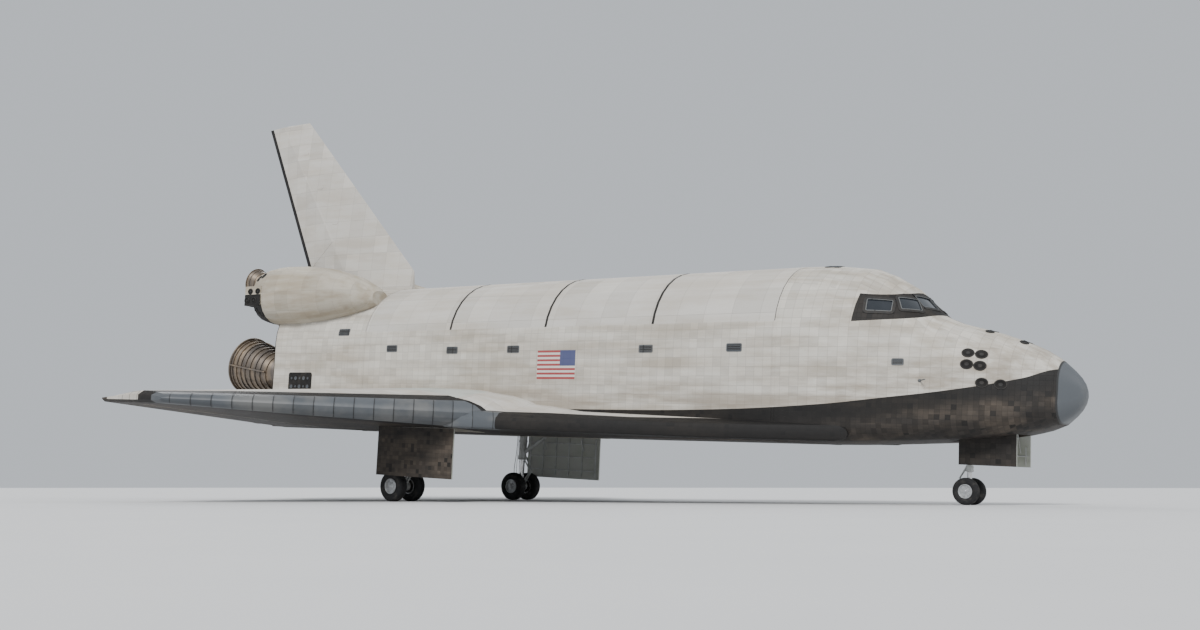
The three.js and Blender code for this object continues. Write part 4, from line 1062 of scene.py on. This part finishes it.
def makeSeams():
    def outside(face):
        spot = face.calc_center_median() - noseTip
        across = spot - aft * spot.dot(aft) - up * 3.2
        return face.normal.dot(across) > 0.2 and abs(face.normal.dot(aft)) < 0.7

    rings = []
    for name, station, width in seams["hull"]:
        rings += bandsOn(name, [(place(station, 0, 0), aft)], width, seams["lift"], outside)
    newPiece("fuselageSeams", rings, "hull")
    for name, side in sides:
        door, front = "payload_bay_door_" + name, wing["leadingStation"]
        planes = [(place(station, 0, 0), aft) for station in seams["doors"]]
        strips = bandsOn(door, planes, seams["doorWidth"], seams["lift"], outside)
        newPiece("doorSeams_" + name, strips, "dark", door)
        along, square = direction(1, side, 0), direction(1, -side, 0)
        reaches = [(wing["panel"] * sqrt(2) * number - front) / 2 for number in seams["panels"]]
        planes = [(place(front + reach, side * reach, 0.5), along) for reach in reaches]
        newPiece("edgeSeals_" + name, bandsOn(
            "leading_edge_" + name, planes, seams["panelWidth"], seams["panelLift"],
            lambda face: abs(face.normal.dot(along)) < 0.7 and face.normal.dot(square) < 0.75), "edge")


bells = {
    "start": 1.118, "length": 3.149, "throat": 0.14, "exit": 1.143, "wall": 0.05,
    # name, gimbal station, side, height, degrees up, degrees out, start of the cuff
    "rows": [("upper", 30.709, 0, 4.470, 16, 0, 2.2), ("left", 31.293, 1.346, 1.920, 10, 3.5, 1.72),
             ("right", 31.293, -1.346, 1.920, 10, -3.5, 1.72)],
    "bands": [0.40, 0.49, 0.57, 0.65, 0.73, 0.80, 0.87, 0.935], "ducts": 3, "steps": 64,
    # the lip and a fold of the cuff, out from the wall and along
    "lip": [(-0.046, -0.1), (-0.046, -0.004), (-0.02, 0), (0.03, -0.01), (0.055, -0.05), (0.045, -0.09),
            (0, -0.11)],
    "fold": [(-0.06, -0.045), (0.06, -0.035), (0.085, 0), (0.06, 0.035), (-0.06, 0.045)],
}
podBells = {"start": 0.5, "length": 1.456, "throat": 0.06, "exit": 0.56, "wall": 0.025, "steps": 48,
            "gimbal": (32.563, 2.235, 5.715), "up": 15.8, "out": 6.5, "bands": [0.55, 0.72, 0.88]}


def bellRadius(bell, share):
    # the bell is five straight lengths, as its solid is
    shares = [0.05, 0.15, 0.35, 0.65, 1]
    radii = [bell["throat"] + (bell["exit"] - bell["throat"]) * one ** 0.6 + bell["wall"] for one in shares]
    return float(numpy.interp(share, shares, radii))


def bellFrame(station, side, height, rise, out):
    a, b = radians(rise), radians(out)
    return seat(place(station, side, height), direction(cos(a) * cos(b), sin(b), sin(a) * cos(b)))


def bandsRound(bell, inwards, outwards, half):
    # the bands round a bell: how far they reach in and out from its wall, and half their width
    spots = [(bell["start"] + share * bell["length"], bellRadius(bell, share)) for share in bell["bands"]]
    return [ring(radius - inwards, radius + outwards, along - half, along + half, bell["steps"])
            for along, radius in spots]


def makeBells():
    steps = bells["steps"]
    for name, station, side, height, rise, out, cuff in bells["rows"]:
        placed = bellFrame(station, side, height, rise, out)
        along, radius = bells["start"] + bells["length"], bellRadius(bells, 1)
        lip = spun([(radius + wider, along + back) for wider, back in bells["lip"]], steps, True)
        # a soft cuff where the bell leaves the base
        shield = []
        for i in range(3):
            low = cuff + 0.02 + i * 0.075
            wide = bellRadius(bells, (low - bells["start"]) / bells["length"])
            shield.append(spun([(wide + wider, low + back) for wider, back in bells["fold"]], steps, True))
        for kind, parts, look in (("bellBands_", bandsRound(bells, 0.04, 0.035, 0.02), "nozzle"),
                                  ("bellLip_", [lip], "nozzle"), ("bellCuff_", shield, "pod")):
            newPiece(kind + name, parts, look, spot=placed)
        ducts = []
        for turn in turns(bells["ducts"], 0.5):
            spots = []
            for k in range(9):
                share = 0.40 + 0.57 * k / 8
                reach = bellRadius(bells, share) + (0.045 if k == 8 else 0.075)
                spots.append(placed @ Vector((cos(turn) * reach, sin(turn) * reach,
                                              bells["start"] + share * bells["length"])))
            ducts.append((0.042, *spots))
        pipes("bellDucts_" + name, ducts, "nozzle", smooth=True)
    for name, side in sides:
        station, across, height = podBells["gimbal"]
        placed = bellFrame(station, side * across, height, podBells["up"], side * podBells["out"])
        along, radius = podBells["start"] + podBells["length"], bellRadius(podBells, 1)
        lip = ring(radius - 0.022, radius + 0.018, along - 0.05, along, podBells["steps"])
        bands = bandsRound(podBells, 0.02, 0.014, 0.012)
        newPiece("podBellBands_" + name, [*bands, lip], "nozzle", spot=placed)


finKit = {
    "housing": (33.6, 6.68, 0.26),  # station of its back end, height, radius
    "hinges": [0.5, 2.2, 3.9], "foot": (31.75, 8.6), "lean": 0.696,  # heights over the foot of the hinge line
    "cover": (0.34, 0.16),
}


def makeFinKit():
    # the cap of the parachute housing and the covers of the rudder's hinges
    station, height, radius = finKit["housing"]
    dome = spun([(0, 0.05), (0.1, 0.046), (0.2, 0.03), (radius - 0.01, 0.004), (radius - 0.01, -0.02),
                 (0, -0.02)], 40)
    cap = [dome, ring(radius - 0.012, radius + 0.014, -0.09, 0.008, 40)]
    cap += [block((0.05, 0.03, 0.02), 0.006, Matrix.Rotation(turn, 4, "Z") @ shift(0.21, 0, 0.03))
            for turn in turns(8, 0.2)]
    newPiece("parachuteCap", cap, "blanket", spot=seat(place(station, 0, height), aft, up))
    surface, covers = surfaceOf("fin"), []
    station, height = finKit["foot"]
    for side in (1, -1):
        for rise in finKit["hinges"]:
            spot = onSide(surface, side, station + rise * finKit["lean"], height + rise)
            covers.append(lay(spot, surface, *finKit["cover"], 0.012, 0.05, 0, 0.1))
    newPiece("rudderHingeCovers", covers, "fin")


for make in (makeWindows, makeThrusters, makeHatch, makeFittings, makeSeams, makeBells, makeFinKit):
    make()
print("outside pieces made")

bay = {
    "front": 8.80, "back": 27.19, "height": 3.378, "radius": 2.286, "sill": 3.86, "liner": 0.012, "end": 0.1,
    "ribs": 13, "ribHalf": 0.035, "ribDeep": 0.1, "ribEnd": 0.15, "flange": (0.09, 0.02),
    "rail": (0.13, 0.12), "railSide": 2.17, "railHeight": 3.79,
    "latches": 26, "latch": (0.09, 0.07, 0.1), "latchSide": 2.08, "rollerSide": 2.045, "latchEnd": 0.4,
    "keel": (0.05, 0.09), "keelSides": (-0.5, 0.5), "keelReach": 2.17, "keelGap": 0.12,
    # degrees up from straight down, distance in from the wall
    "trays": (30, 58), "tray": (0.24, 0.07), "trayIn": 0.17,
    "pipes": (39, 42, 45, 70, 73), "pipeIn": 0.135, "pipeSizes": (0.026, 0.018),
}


def bayArc(front, back, radius, depth):
    # a trough round the bay's middle: half round below, upright up to the sill, and as thick as depth
    part = bmesh.new()
    rise = up * (bay["sill"] - bay["height"])
    corners = [(front, radius), (back, radius), (back, radius - depth), (front, radius - depth)]
    spots = [place(station, reach, bay["height"]) for station, reach in corners]
    face = part.faces.new([part.verts.new(spot) for spot in spots])
    made = bmesh.ops.extrude_face_region(part, geom=[face])["geom"]
    verts = vertsIn(made)
    bmesh.ops.translate(part, vec=rise, verts=[vert for vert in part.verts if vert not in verts])
    last = [one for one in made if isinstance(one, bmesh.types.BMFace)]
    turned = bmesh.ops.spin(part, geom=last, axis=aft, cent=place(front, 0, bay["height"]), angle=pi,
                            steps=28)["geom_last"]
    end = [one for one in turned if isinstance(one, bmesh.types.BMFace)]
    made = bmesh.ops.extrude_face_region(part, geom=end)["geom"]
    bmesh.ops.delete(part, geom=[face for face in end if face.is_valid], context="FACES_ONLY")
    bmesh.ops.translate(part, vec=rise, verts=vertsIn(made))
    return part


def inBay(station, degreesUp, reach):
    # a place on the round of the bay, from straight down towards port
    turn = radians(degreesUp)
    return place(station, sin(turn) * reach, bay["height"] - cos(turn) * reach)


def makeBay():
    front, back, radius, half = bay["front"], bay["back"], bay["radius"], bay["ribHalf"]
    newPiece("bayLiner", [bayArc(front, back, radius - 0.003, bay["liner"])], "liner")
    pitch = (back - front - 2 * bay["ribEnd"]) / (bay["ribs"] - 1)
    ribs, (flangeIn, flange) = [], bay["flange"]
    for station in (front + bay["ribEnd"] + i * pitch for i in range(bay["ribs"])):
        ribs += [bayArc(station - half * 0.4, station + half * 0.4, radius - 0.01, bay["ribDeep"]),
                 bayArc(station - half, station + half, radius - flangeIn, flange)]
    newPiece("bayFrames", ribs, "gear")
    rails, latches, trays, rows = [], [], [], []
    length, centre, rail = back - front - bay["end"], (back + front) / 2, bay["railHeight"]
    for side in (1, -1):
        spot = place(centre, side * bay["railSide"], rail)
        rails.append(block((length, *bay["rail"]), 0.015, seat(spot, up)))
        for i in range(bay["latches"]):
            station = front + bay["latchEnd"] + i * (length - 0.6) / (bay["latches"] - 1)
            latch, turned = (place(station, side * bay[key], rail) for key in ("latchSide", "rollerSide"))
            roller = spun([(0, 0.05), (0.022, 0.045), (0.028, 0), (0, 0)], 10)
            latches += [block(bay["latch"], 0.012, seat(latch, up)),
                        moved(roller, seat(turned, (0, -side, 0), up))]
        for degreesUp in bay["trays"]:
            spot = inBay(centre, side * degreesUp, radius - bay["trayIn"])
            inward = place(centre, 0, bay["height"]) - spot
            trays.append(block((length - 0.2, *bay["tray"]), 0.012, seat(spot, inward, inward.cross(aft))))
        for k, degreesUp in enumerate(bay["pipes"]):
            ends = (front + bay["end"], back - bay["end"])
            rows.append((bay["pipeSizes"][k % 2],
                         *(inBay(station, side * degreesUp, radius - bay["pipeIn"]) for station in ends)))
    newPiece("bayRails", rails, "gear")
    newPiece("bayLatches", latches, "dark")
    newPiece("bayTrays", trays, "cabin")
    pipes("bayPipes", rows, "chrome")
    keel = []
    for i in range(bay["ribs"] - 1):
        for across in bay["keelSides"]:
            low = bay["height"] - sqrt(bay["keelReach"] ** 2 - across ** 2)
            spot = place(front + bay["ribEnd"] + (i + 0.5) * pitch, across, low)
            keel.append(block((pitch - bay["keelGap"], *bay["keel"]), 0.01, seat(spot, up)))
    newPiece("bayKeelBeams", keel, "gear")


bulkheads = {
    "airlock": (2.35, 0.62), "windows": (4.72, 0.36, 0.36, 0.30),  # height and radius; height, side, size
    "blanket": (0.78, 0.86), "pitch": (0.8, 0.9), "lowest": 1.75, "reach": 2.22,
}


def makeBulkheads():
    ahead, behind = seat(place(bay["front"], 0, 0), aft, up), seat(place(bay["back"], 0, 0), -aft, up)
    height, radius = bulkheads["airlock"]
    frames = [ring(radius, radius + 0.13, 0, 0.22, 48), ring(radius + 0.13, radius + 0.3, 0, 0.05, 48)]
    reach = radius + 0.065
    frames += [moved(spun([(0, 0.245), (0.014, 0.243), (0.018, 0.2), (0, 0.2)], 8),
                     shift(cos(turn) * reach, sin(turn) * reach, 0)) for turn in turns(24)]
    frames += [block((0.34, 0.05, 0.04), 0.01, Matrix.Rotation(turn, 4, "Z") @ shift(0.2, 0, 0.19))
               for turn in turns(3, pi / 2)]
    centre = ahead @ shift(0, height, 0)
    frames = [moved(part, centre) for part in frames]
    lid = spun([(0, 0.19), (0.12, 0.188), (0.3, 0.17), (0.5, 0.12), (radius, 0.06), (radius, 0), (0, 0)], 40)
    covers, panes = {"forward": [moved(lid, centre)], "aft": []}, []
    height, across, wide, tall = bulkheads["windows"]
    for side in (1, -1):
        spot = ahead @ shift(side * across, height, 0)
        frames.append(moved(plate(wide + 0.12, tall + 0.12, 0.05, 0.06, 0.07), spot))
        panes.append(moved(plate(wide, tall, 0.02, 0.04), spot))
    # blankets on both bulkheads, clear of the airlock, the windows and the bay's round
    wide, tall = bulkheads["blanket"]
    for name, matrix, rise in (("forward", ahead, 0.03), ("aft", behind, 0.05)):
        for column in range(-2, 3):
            for row in range(4):
                x, y = column * bulkheads["pitch"][0], bulkheads["lowest"] + row * bulkheads["pitch"][1]
                far = sqrt((abs(x) + wide / 2) ** 2 + (abs(y - bay["height"]) + tall / 2) ** 2)
                isTaken = name == "forward" and (y > 4.3 or (abs(x) < 0.9 and y < 3.5))
                if far <= bulkheads["reach"] and not isTaken:
                    covers[name].append(moved(plate(wide, tall, rise, 0.05), matrix @ shift(x, y, 0)))
    newPiece("forwardBulkheadCover", covers["forward"], "liner")
    newPiece("forwardBulkheadFrames", frames, "gear")
    newPiece("aftBulkheadWindows", panes, "glass")
    newPiece("aftBulkheadCover", covers["aft"], "liner")


doorKit = {
    "count": 13, "first": 9.3, "last": 26.7,
    "pipes": [(4.36, 0.03), (4.44, 0.02)], "outerPipe": (4.2, 0.025),  # height to look from, radius
    "pipeEnds": (9.4, 26.5),
}


def radiatorPipe(panel, height, radius, side, across, ray):
    # a pipe that follows the inside of a radiator, where rays from the bay's middle meet it
    spots, (first, last) = [], doorKit["pipeEnds"]
    for i in range(25):
        station = first + (last - first) * i / 24
        hit, normal, _, _ = panel.ray_cast(place(station, across * side, height), ray)
        if hit:
            inward = normal if normal.dot(place(station, 0, 3.4) - hit) >= 0 else -normal
            spots.append(hit + inward * (radius + 0.004))
    return radius, *spots


def makeDoorKit():
    # brackets at the hinges and pipes along the radiators, on the inside of each door
    for name, side in sides:
        body, brackets = "payload_bay_door_" + name, []
        door, panel = surfaceOf(body), surfaceOf("radiator_" + name)
        outward = Vector((0, side, 0))
        for i in range(doorKit["count"]):
            station = doorKit["first"] + (doorKit["last"] - doorKit["first"]) * i / (doorKit["count"] - 1)
            spot = onSurface(door, place(station, 0, 4.08), outward)
            pin = spun([(0, 0.07), (0.024, 0.07), (0.024, -0.07), (0, -0.07)], 12)
            brackets.append(lay(spot, door, 0.16, 0.24, 0.035, 0.03, 0, 0.1))
            brackets += [block((0.03, 0.2, 0.07), 0.008, spot @ shift(x, 0, 0.035)) for x in (0.04, -0.04)]
            brackets.append(moved(pin, spot @ shift(0, 0.02, 0.05) @ Matrix.Rotation(pi / 2, 4, "Y")))
        newPiece("doorBrackets_" + name, brackets, "gear", body)
        rows = [radiatorPipe(panel, height, radius, side, 0, outward) for height, radius in doorKit["pipes"]]
        rows.append(radiatorPipe(panel, *doorKit["outerPipe"], side, 0.2, direction(0, 0.6 * side, 1)))
        pipes("radiatorPipes_" + name, rows, "chrome", body)


for make in (makeBay, makeBulkheads, makeDoorKit):
    make()
print("payload bay pieces made")


def gearHeight(gear):
    # height over the belly line of an axle whose tyres stand on the ground
    return (gear["radius"] - noseTip.z - gear["station"] * aft.z) / up.z


mainGear = {
    "station": 23.774, "side": 3.454, "track": 0.47, "radius": 0.565, "rim": 0.285, "rimHalf": 0.175,
    "tyreHalf": 0.203, "axle": 0.1, "boss": 0.24, "discs": 4,
    "top": (23.759, -0.9),  # station and height of the leg's top
    # torque links: upper pin, lower pin and elbow; radius of an arm, half the space between two arms and the
    # share of it at the elbow; radius and half length of the pins
    "pins": [(23.6, -0.87), (23.63, -1.90), (23.27, -1.42)], "arm": (0.03, 0.10, 0.35),
    "pinSizes": [(0.036, 0.14), (0.036, 0.14), (0.034, 0.07)],
    "braces": [(0.03, (23.3, -0.35, 0.9), (23.66, -0.17, -0.55)),
               (0.03, (23.3, 0.35, 0.9), (23.66, 0.17, -0.55)),
               (0.045, (21.75, 0, 0.55), (22.35, 0, 0.2)), (0.11, (21.9, 0, 0.47), (22.5, 0, 0.11))],
    "brakeLines": [(0.012, [(23.95, 0.10, 0.3), (23.96, 0.12, -0.5), (24.0, 0.14, -0.95), (24.06, 0.16, -1.4),
                            (23.98, 0.2, -1.8), (23.86, 0.21, -1.93)]),
                   (0.009, [(23.93, 0.06, 0.3), (23.94, 0.06, -0.6), (24.03, 0.07, -1.2),
                            (23.92, 0.12, -1.9)])],
    "wellPipes": (-0.62, -0.55, -0.48, 0.5, 0.58), "wellBars": (20.9, 21.8, 22.7, 23.3),
    "door": {
        "face": 4.374, "ribs": [20.62 + i * 0.686 for i in range(6)],
        "rib": (0.05, 1.6, 0.045), "ribIn": 0.0215, "height": -0.75, "bevel": 0.01,
        "middle": 22.33, "bar": (3.5, 0.05, 0.04), "barIn": 0.019,
        "bars": (-0.2, -0.75, -1.3),
        # links: stations, radius, how far in the foot is and its height, then the head's shift, side, height
        "links": ((21.2, 23.2), 0.024, 0.05, -0.5, 0.15, 4.02, 0.55),
    },
}
noseGear = {
    "station": 3.44, "side": 0, "track": 0.285, "radius": 0.4065, "rim": 0.215, "rimHalf": 0.095,
    "tyreHalf": 0.112, "axle": 0.058, "boss": 0.15, "discs": 0, "top": (3.44, -0.36),
    "pins": [(3.55, -0.46), (3.53, -1.04), (3.74, -0.76)], "arm": (0.016, 0.055, 0.4),
    "pinSizes": [(0.02, 0.08), (0.02, 0.08), (0.019, 0.04)],
    # on both sides of the middle
    "braces": [(0.035, (3.36, 0.14, -0.15), (3.2, 0.15, -0.15)), (0.02, (2.35, 0.28, 1.25), (3.3, 0.08, 0.1)),
               (0.011, (3.56, 0.04, 1.0), (3.56, 0.04, -0.2))],
    "wellPipes": (-0.5, -0.44, -0.38, 0.4, 0.47), "wellBars": (2.1, 2.6, 3.05),
    "door": {
        "face": 0.614, "ribs": [1.95 + i * 0.36 for i in range(5)],
        "rib": (0.035, 0.52, 0.03), "ribIn": 0.014, "height": -0.03, "bevel": 0.008,
        "middle": 2.68, "bar": (1.6, 0.035, 0.026), "barIn": 0.012,
        "bars": (-0.03,), "links": ((2.1, 3.2), 0.014, 0.02, 0.05, 0.08, 0.5, 0.75),
    },
}
tread = {"seat": 0.0003, "worn": 0.0005, "steps": 72,
         "grooves": 3, "grooveHalf": 0.0045, "grooveDepth": 0.012, "pitch": 0.26,
         # the side of a tyre: shares of its depth and of its half width
         "shape": [(0, 0.80), (0.06, 0.84), (0.12, 0.89), (0.28, 0.97), (0.45, 1), (0.62, 0.97), (0.78, 0.90),
                   (0.88, 0.80), (0.95, 0.65), (0.985, 0.48), (0.996, 0.36)]}


def tyreProfile(gear):
    # from the inner bead over the tread to the outer bead: radius, distance from the middle
    depth, half = gear["radius"] - gear["rim"] - tread["seat"], gear["tyreHalf"]
    base = gear["rim"] + tread["seat"]
    edge = [(base + out * depth, across * half) for out, across in tread["shape"]]
    top = base + depth - tread["worn"]
    floor, crown = top - tread["grooveDepth"], []
    for i in range(tread["grooves"]):
        middle = (i - (tread["grooves"] - 1) / 2) * half * tread["pitch"]
        low, high = middle - tread["grooveHalf"], middle + tread["grooveHalf"]
        crown += [(top, low), (floor, low + 0.001), (floor, high - 0.001), (top, high)]
    return [(radius, -along) for radius, along in edge] + crown + edge[::-1]


def makeWheels(gear, body, side, nodeNames, wheelName):
    centre = seat(place(gear["station"], side * gear["side"], gearHeight(gear)), (0, 1, 0), up)
    for sign, node in zip((-1, 1), nodeNames):
        rubber = spun(tyreProfile(gear), tread["steps"], True)
        tyre = newPiece("tyre_" + node, [rubber], "tyre", body, centre @ shift(0, 0, sign * gear["track"]))
        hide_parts(node)
    rim, axle, track, half = gear["rim"], gear["axle"], gear["track"], gear["rimHalf"]
    dish, edge = track + 0.7 * half, track + half
    low, high, discs = gear["boss"] + 0.022, track - half - 0.004, gear["discs"]
    metal, brakes = [], []
    for out in (centre, centre @ Matrix.Rotation(pi, 4, "X")):
        # bead flanges, hub cap, bolts and ribs
        hub = spun([(0, edge + 0.028), (0.4 * axle, edge + 0.026), (0.62 * axle, edge + 0.016),
                    (0.7 * axle, edge - 0.01), (1.25 * axle, dish + 0.02), (1.35 * axle, dish),
                    (0, dish)], 32)
        parts = [ring(rim * 0.86, rim * 0.99, edge - 0.03, edge + 0.006, 48),
                 ring(rim * 0.87, rim * 0.99, track - half - 0.006, track - half + 0.02, 48), hub]
        for i, turn in enumerate(turns(12)):
            spot = Matrix.Rotation(turn, 4, "Z")
            bolt = spun([(0, 0.02), (0.008, 0.019), (0.012, 0.012), (0.012, -0.004), (0, -0.004)], 6)
            parts.append(moved(bolt, spot @ shift(rim * 0.70, 0, dish)))
            if i % 2 == 0:
                spot = spot @ Matrix.Rotation(radians(15), 4, "Z")
                rib = spot @ shift(rim * 0.58, 0, dish + 0.008)
                parts.append(block((rim * 0.34, 0.03, 0.03), 0.008, rib))
        metal += [moved(part, out) for part in parts]
        for i in range(discs):
            start, thick = low + (high - low) / discs * i, (high - low) / discs * 0.72
            brakes.append(moved(ring(axle * 1.58, rim * 0.88, start, start + thick, 40), out))
    newPiece(wheelName + "Fittings", metal, "wheel", body)
    if brakes:
        newPiece(wheelName + "Brakes", brakes, "dark", body)


def torqueLinks(gear):
    # two pairs of arms that meet at an elbow, and the pins at their ends
    radius, half, share = gear["arm"]
    elbow, height = gear["pins"][2]
    rows = [(radius, (station, across, z), (elbow, across * share, height))
            for across in (-half, half) for station, z in gear["pins"][:2]]
    return rows + [(size, (station, -reach, z), (station, reach, z))
                   for (station, z), (size, reach) in zip(gear["pins"], gear["pinSizes"])]


def makeGearDoor(kind, door, name, side):
    # ribs and bars on the inside of a gear door, and the links that hold it
    face, ribs = side * door["face"], []
    rows = [(door["rib"], station, door["ribIn"], door["height"]) for station in door["ribs"]]
    rows += [(door["bar"], door["middle"], door["barIn"], height) for height in door["bars"]]
    for size, station, inward, height in rows:
        spot = place(station, face - side * inward, height)
        ribs.append(block(size, door["bevel"], seat(spot, (0, -side, 0), up)))
    newPiece(f"{kind}DoorRibs_{name}", ribs, "gear")
    stations, radius, inward, foot, shifted, across, head = door["links"]
    links = [(radius, (station, face - side * inward, foot), (station + shifted, side * across, head))
             for station in stations]
    pipes(f"{kind}DoorLinks_{name}", links, "gear")


def makeMainGear():
    gear = mainGear
    for name, side in sides:
        y = side * gear["side"]
        tyres = [f"main_tyre_{which}_{name}" for which in ("inner", "outer")[::side]]
        makeWheels(gear, "main_wheels_" + name, side, tyres, "mainWheel_" + name)
        top, foot = place(gear["top"][0], y, gear["top"][1]), place(gear["station"], y, gearHeight(gear))
        down, reach = seat(top, foot - top), (foot - top).length
        newPiece("oleoSleeve_" + name, [ring(0.1, 0.1145, 0.05, reach - 0.2, 48, 0.1)], "chrome", spot=down)
        collars = [(0.1, 0.185, -0.12, 0.05), (0.1, 0.15, reach - 0.24, reach - 0.17),
                   (0.15, 0.19, -0.75, -0.68)]
        newPiece("oleoCollars_" + name, [ring(*collar, 40) for collar in collars], "gear", spot=down)
        pipes("torqueLinks_" + name, torqueLinks(gear) + gear["braces"], "gear", side=y)
        lines = [(radius, *((station, sign * across, z) for station, across, z in spots))
                 for sign in (-1, 1) for radius, spots in gear["brakeLines"]]
        pipes("brakeLines_" + name, lines, "hose", side=y, smooth=True)
        well = [(0.016 + 0.006 * (i % 2), *((station, across, 1.08 - 0.02 * i) for station in (20.46, 24.2)))
                for i, across in enumerate(gear["wellPipes"])]
        well += [(0.02, (station, -0.69, 1.02), (station, 0.88, 1.02)) for station in gear["wellBars"]]
        pipes("wellPipes_" + name, well, "chrome", side=y)
        makeGearDoor("main", gear["door"], name, side)


def makeNoseGear():
    gear = noseGear
    makeWheels(gear, "nose_wheels", 1, ["nose_tyre_right", "nose_tyre_left"], "noseWheel")
    down = seat(place(gear["top"][0], 0, gear["top"][1]), -up)
    for name, look, body, *rings in (
        ("noseOleoSleeve", "chrome", "nose_steering", (0.065, 0.0738, 0.22, 0.62, 40, 0.1)),
        ("noseSteeringCollars", "gear", "nose_steering",
         (0.1, 0.122, 0.05, 0.09, 40), (0.1, 0.122, 0.15, 0.19, 40)),
        ("noseLegCollars", "gear", "root", (0.09, 0.118, -0.16, -0.03, 40), (0.09, 0.112, -0.62, -0.55, 40)),
    ):
        newPiece(name, [ring(*row) for row in rings], look, body, down)
    pipes("noseTorqueLinks", torqueLinks(gear), "gear", "nose_steering")
    braces = [(radius, *((station, side * across, z) for station, across, z in spots))
              for radius, *spots in gear["braces"] for side in (1, -1)]
    pipes("noseLegBraces", braces, "gear")
    well = [(0.014, (1.86, across, 1.66), (3.5, across, 1.66)) for across in gear["wellPipes"]]
    well += [(0.016, (station, -0.58, 1.6), (station, 0.58, 1.6)) for station in gear["wellBars"]]
    pipes("noseWellPipes", well, "chrome")
    for name, side in sides:
        makeGearDoor("nose", gear["door"], name, side)


makeMainGear()
makeNoseGear()
print("landing gear pieces made")

stageSet = {
    "target": (0.4, 0.75, 7.0), "azimuth": 36, "distance": 47, "height": 0.55, "lens": 37.5, "floorSize": 900,
    "floor": [(0.66, 0.66, 0.66), (0.70, 0.70, 0.70)], "sky": (0.84, 0.89, 0.95), "skyStrength": 0.72,
    # name, place, spread in degrees, power
    "suns": [("keySun", (12, -28, 26), 20, 3.0), ("fillSun", (34, 14, 20), 40, 0.6),
             ("backSun", (-30, 26, 22), 30, 0.8)],
}


def facingMatrix(spot, target):
    return Matrix.Translation(spot) @ (target - spot).to_track_quat("-Z", "Y").to_matrix().to_4x4()


def makeStage():
    bm, mesh = bmesh.new(), bpy.data.meshes.new("studioFloor")
    bmesh.ops.create_grid(bm, x_segments=2, y_segments=2, size=stageSet["floorSize"] / 2)
    bm.to_mesh(mesh)
    bm.free()
    floor = bpy.data.objects.new("studioFloor", mesh)
    scene.collection.objects.link(floor)
    skin = Skin("paleFloor", False)
    mesh.materials.append(skin.done(skin.position.noise(0.4, 3, 0.55).between(*stageSet["floor"]), 0.9))
    world = bpy.data.worlds.new("studioWorld")
    world.use_nodes = True
    sky = world.node_tree.nodes["Background"].inputs
    feed(sky["Color"], stageSet["sky"])
    feed(sky["Strength"], stageSet["skyStrength"])
    scene.world = world
    for name, spot, spread, power in stageSet["suns"]:
        light = bpy.data.lights.new(name, "SUN")
        light.angle, light.energy = radians(spread), power
        lamp = bpy.data.objects.new(name, light)
        lamp.matrix_world = facingMatrix(Vector(spot), Vector())
        scene.collection.objects.link(lamp)


def makeCamera():
    turn, target = radians(stageSet["azimuth"]), Vector(stageSet["target"])
    spot = target + Vector((sin(turn), -cos(turn), 0)) * stageSet["distance"]
    spot.z = stageSet["height"]
    lens = bpy.data.cameras.new("photoCamera")
    lens.lens, lens.sensor_width, lens.clip_end = stageSet["lens"], 36, 1000
    camera = bpy.data.objects.new("photoCamera", lens)
    camera.matrix_world = facingMatrix(spot, target)
    scene.collection.objects.link(camera)
    scene.camera = camera


makeStage()
makeCamera()
print("stage and camera set")
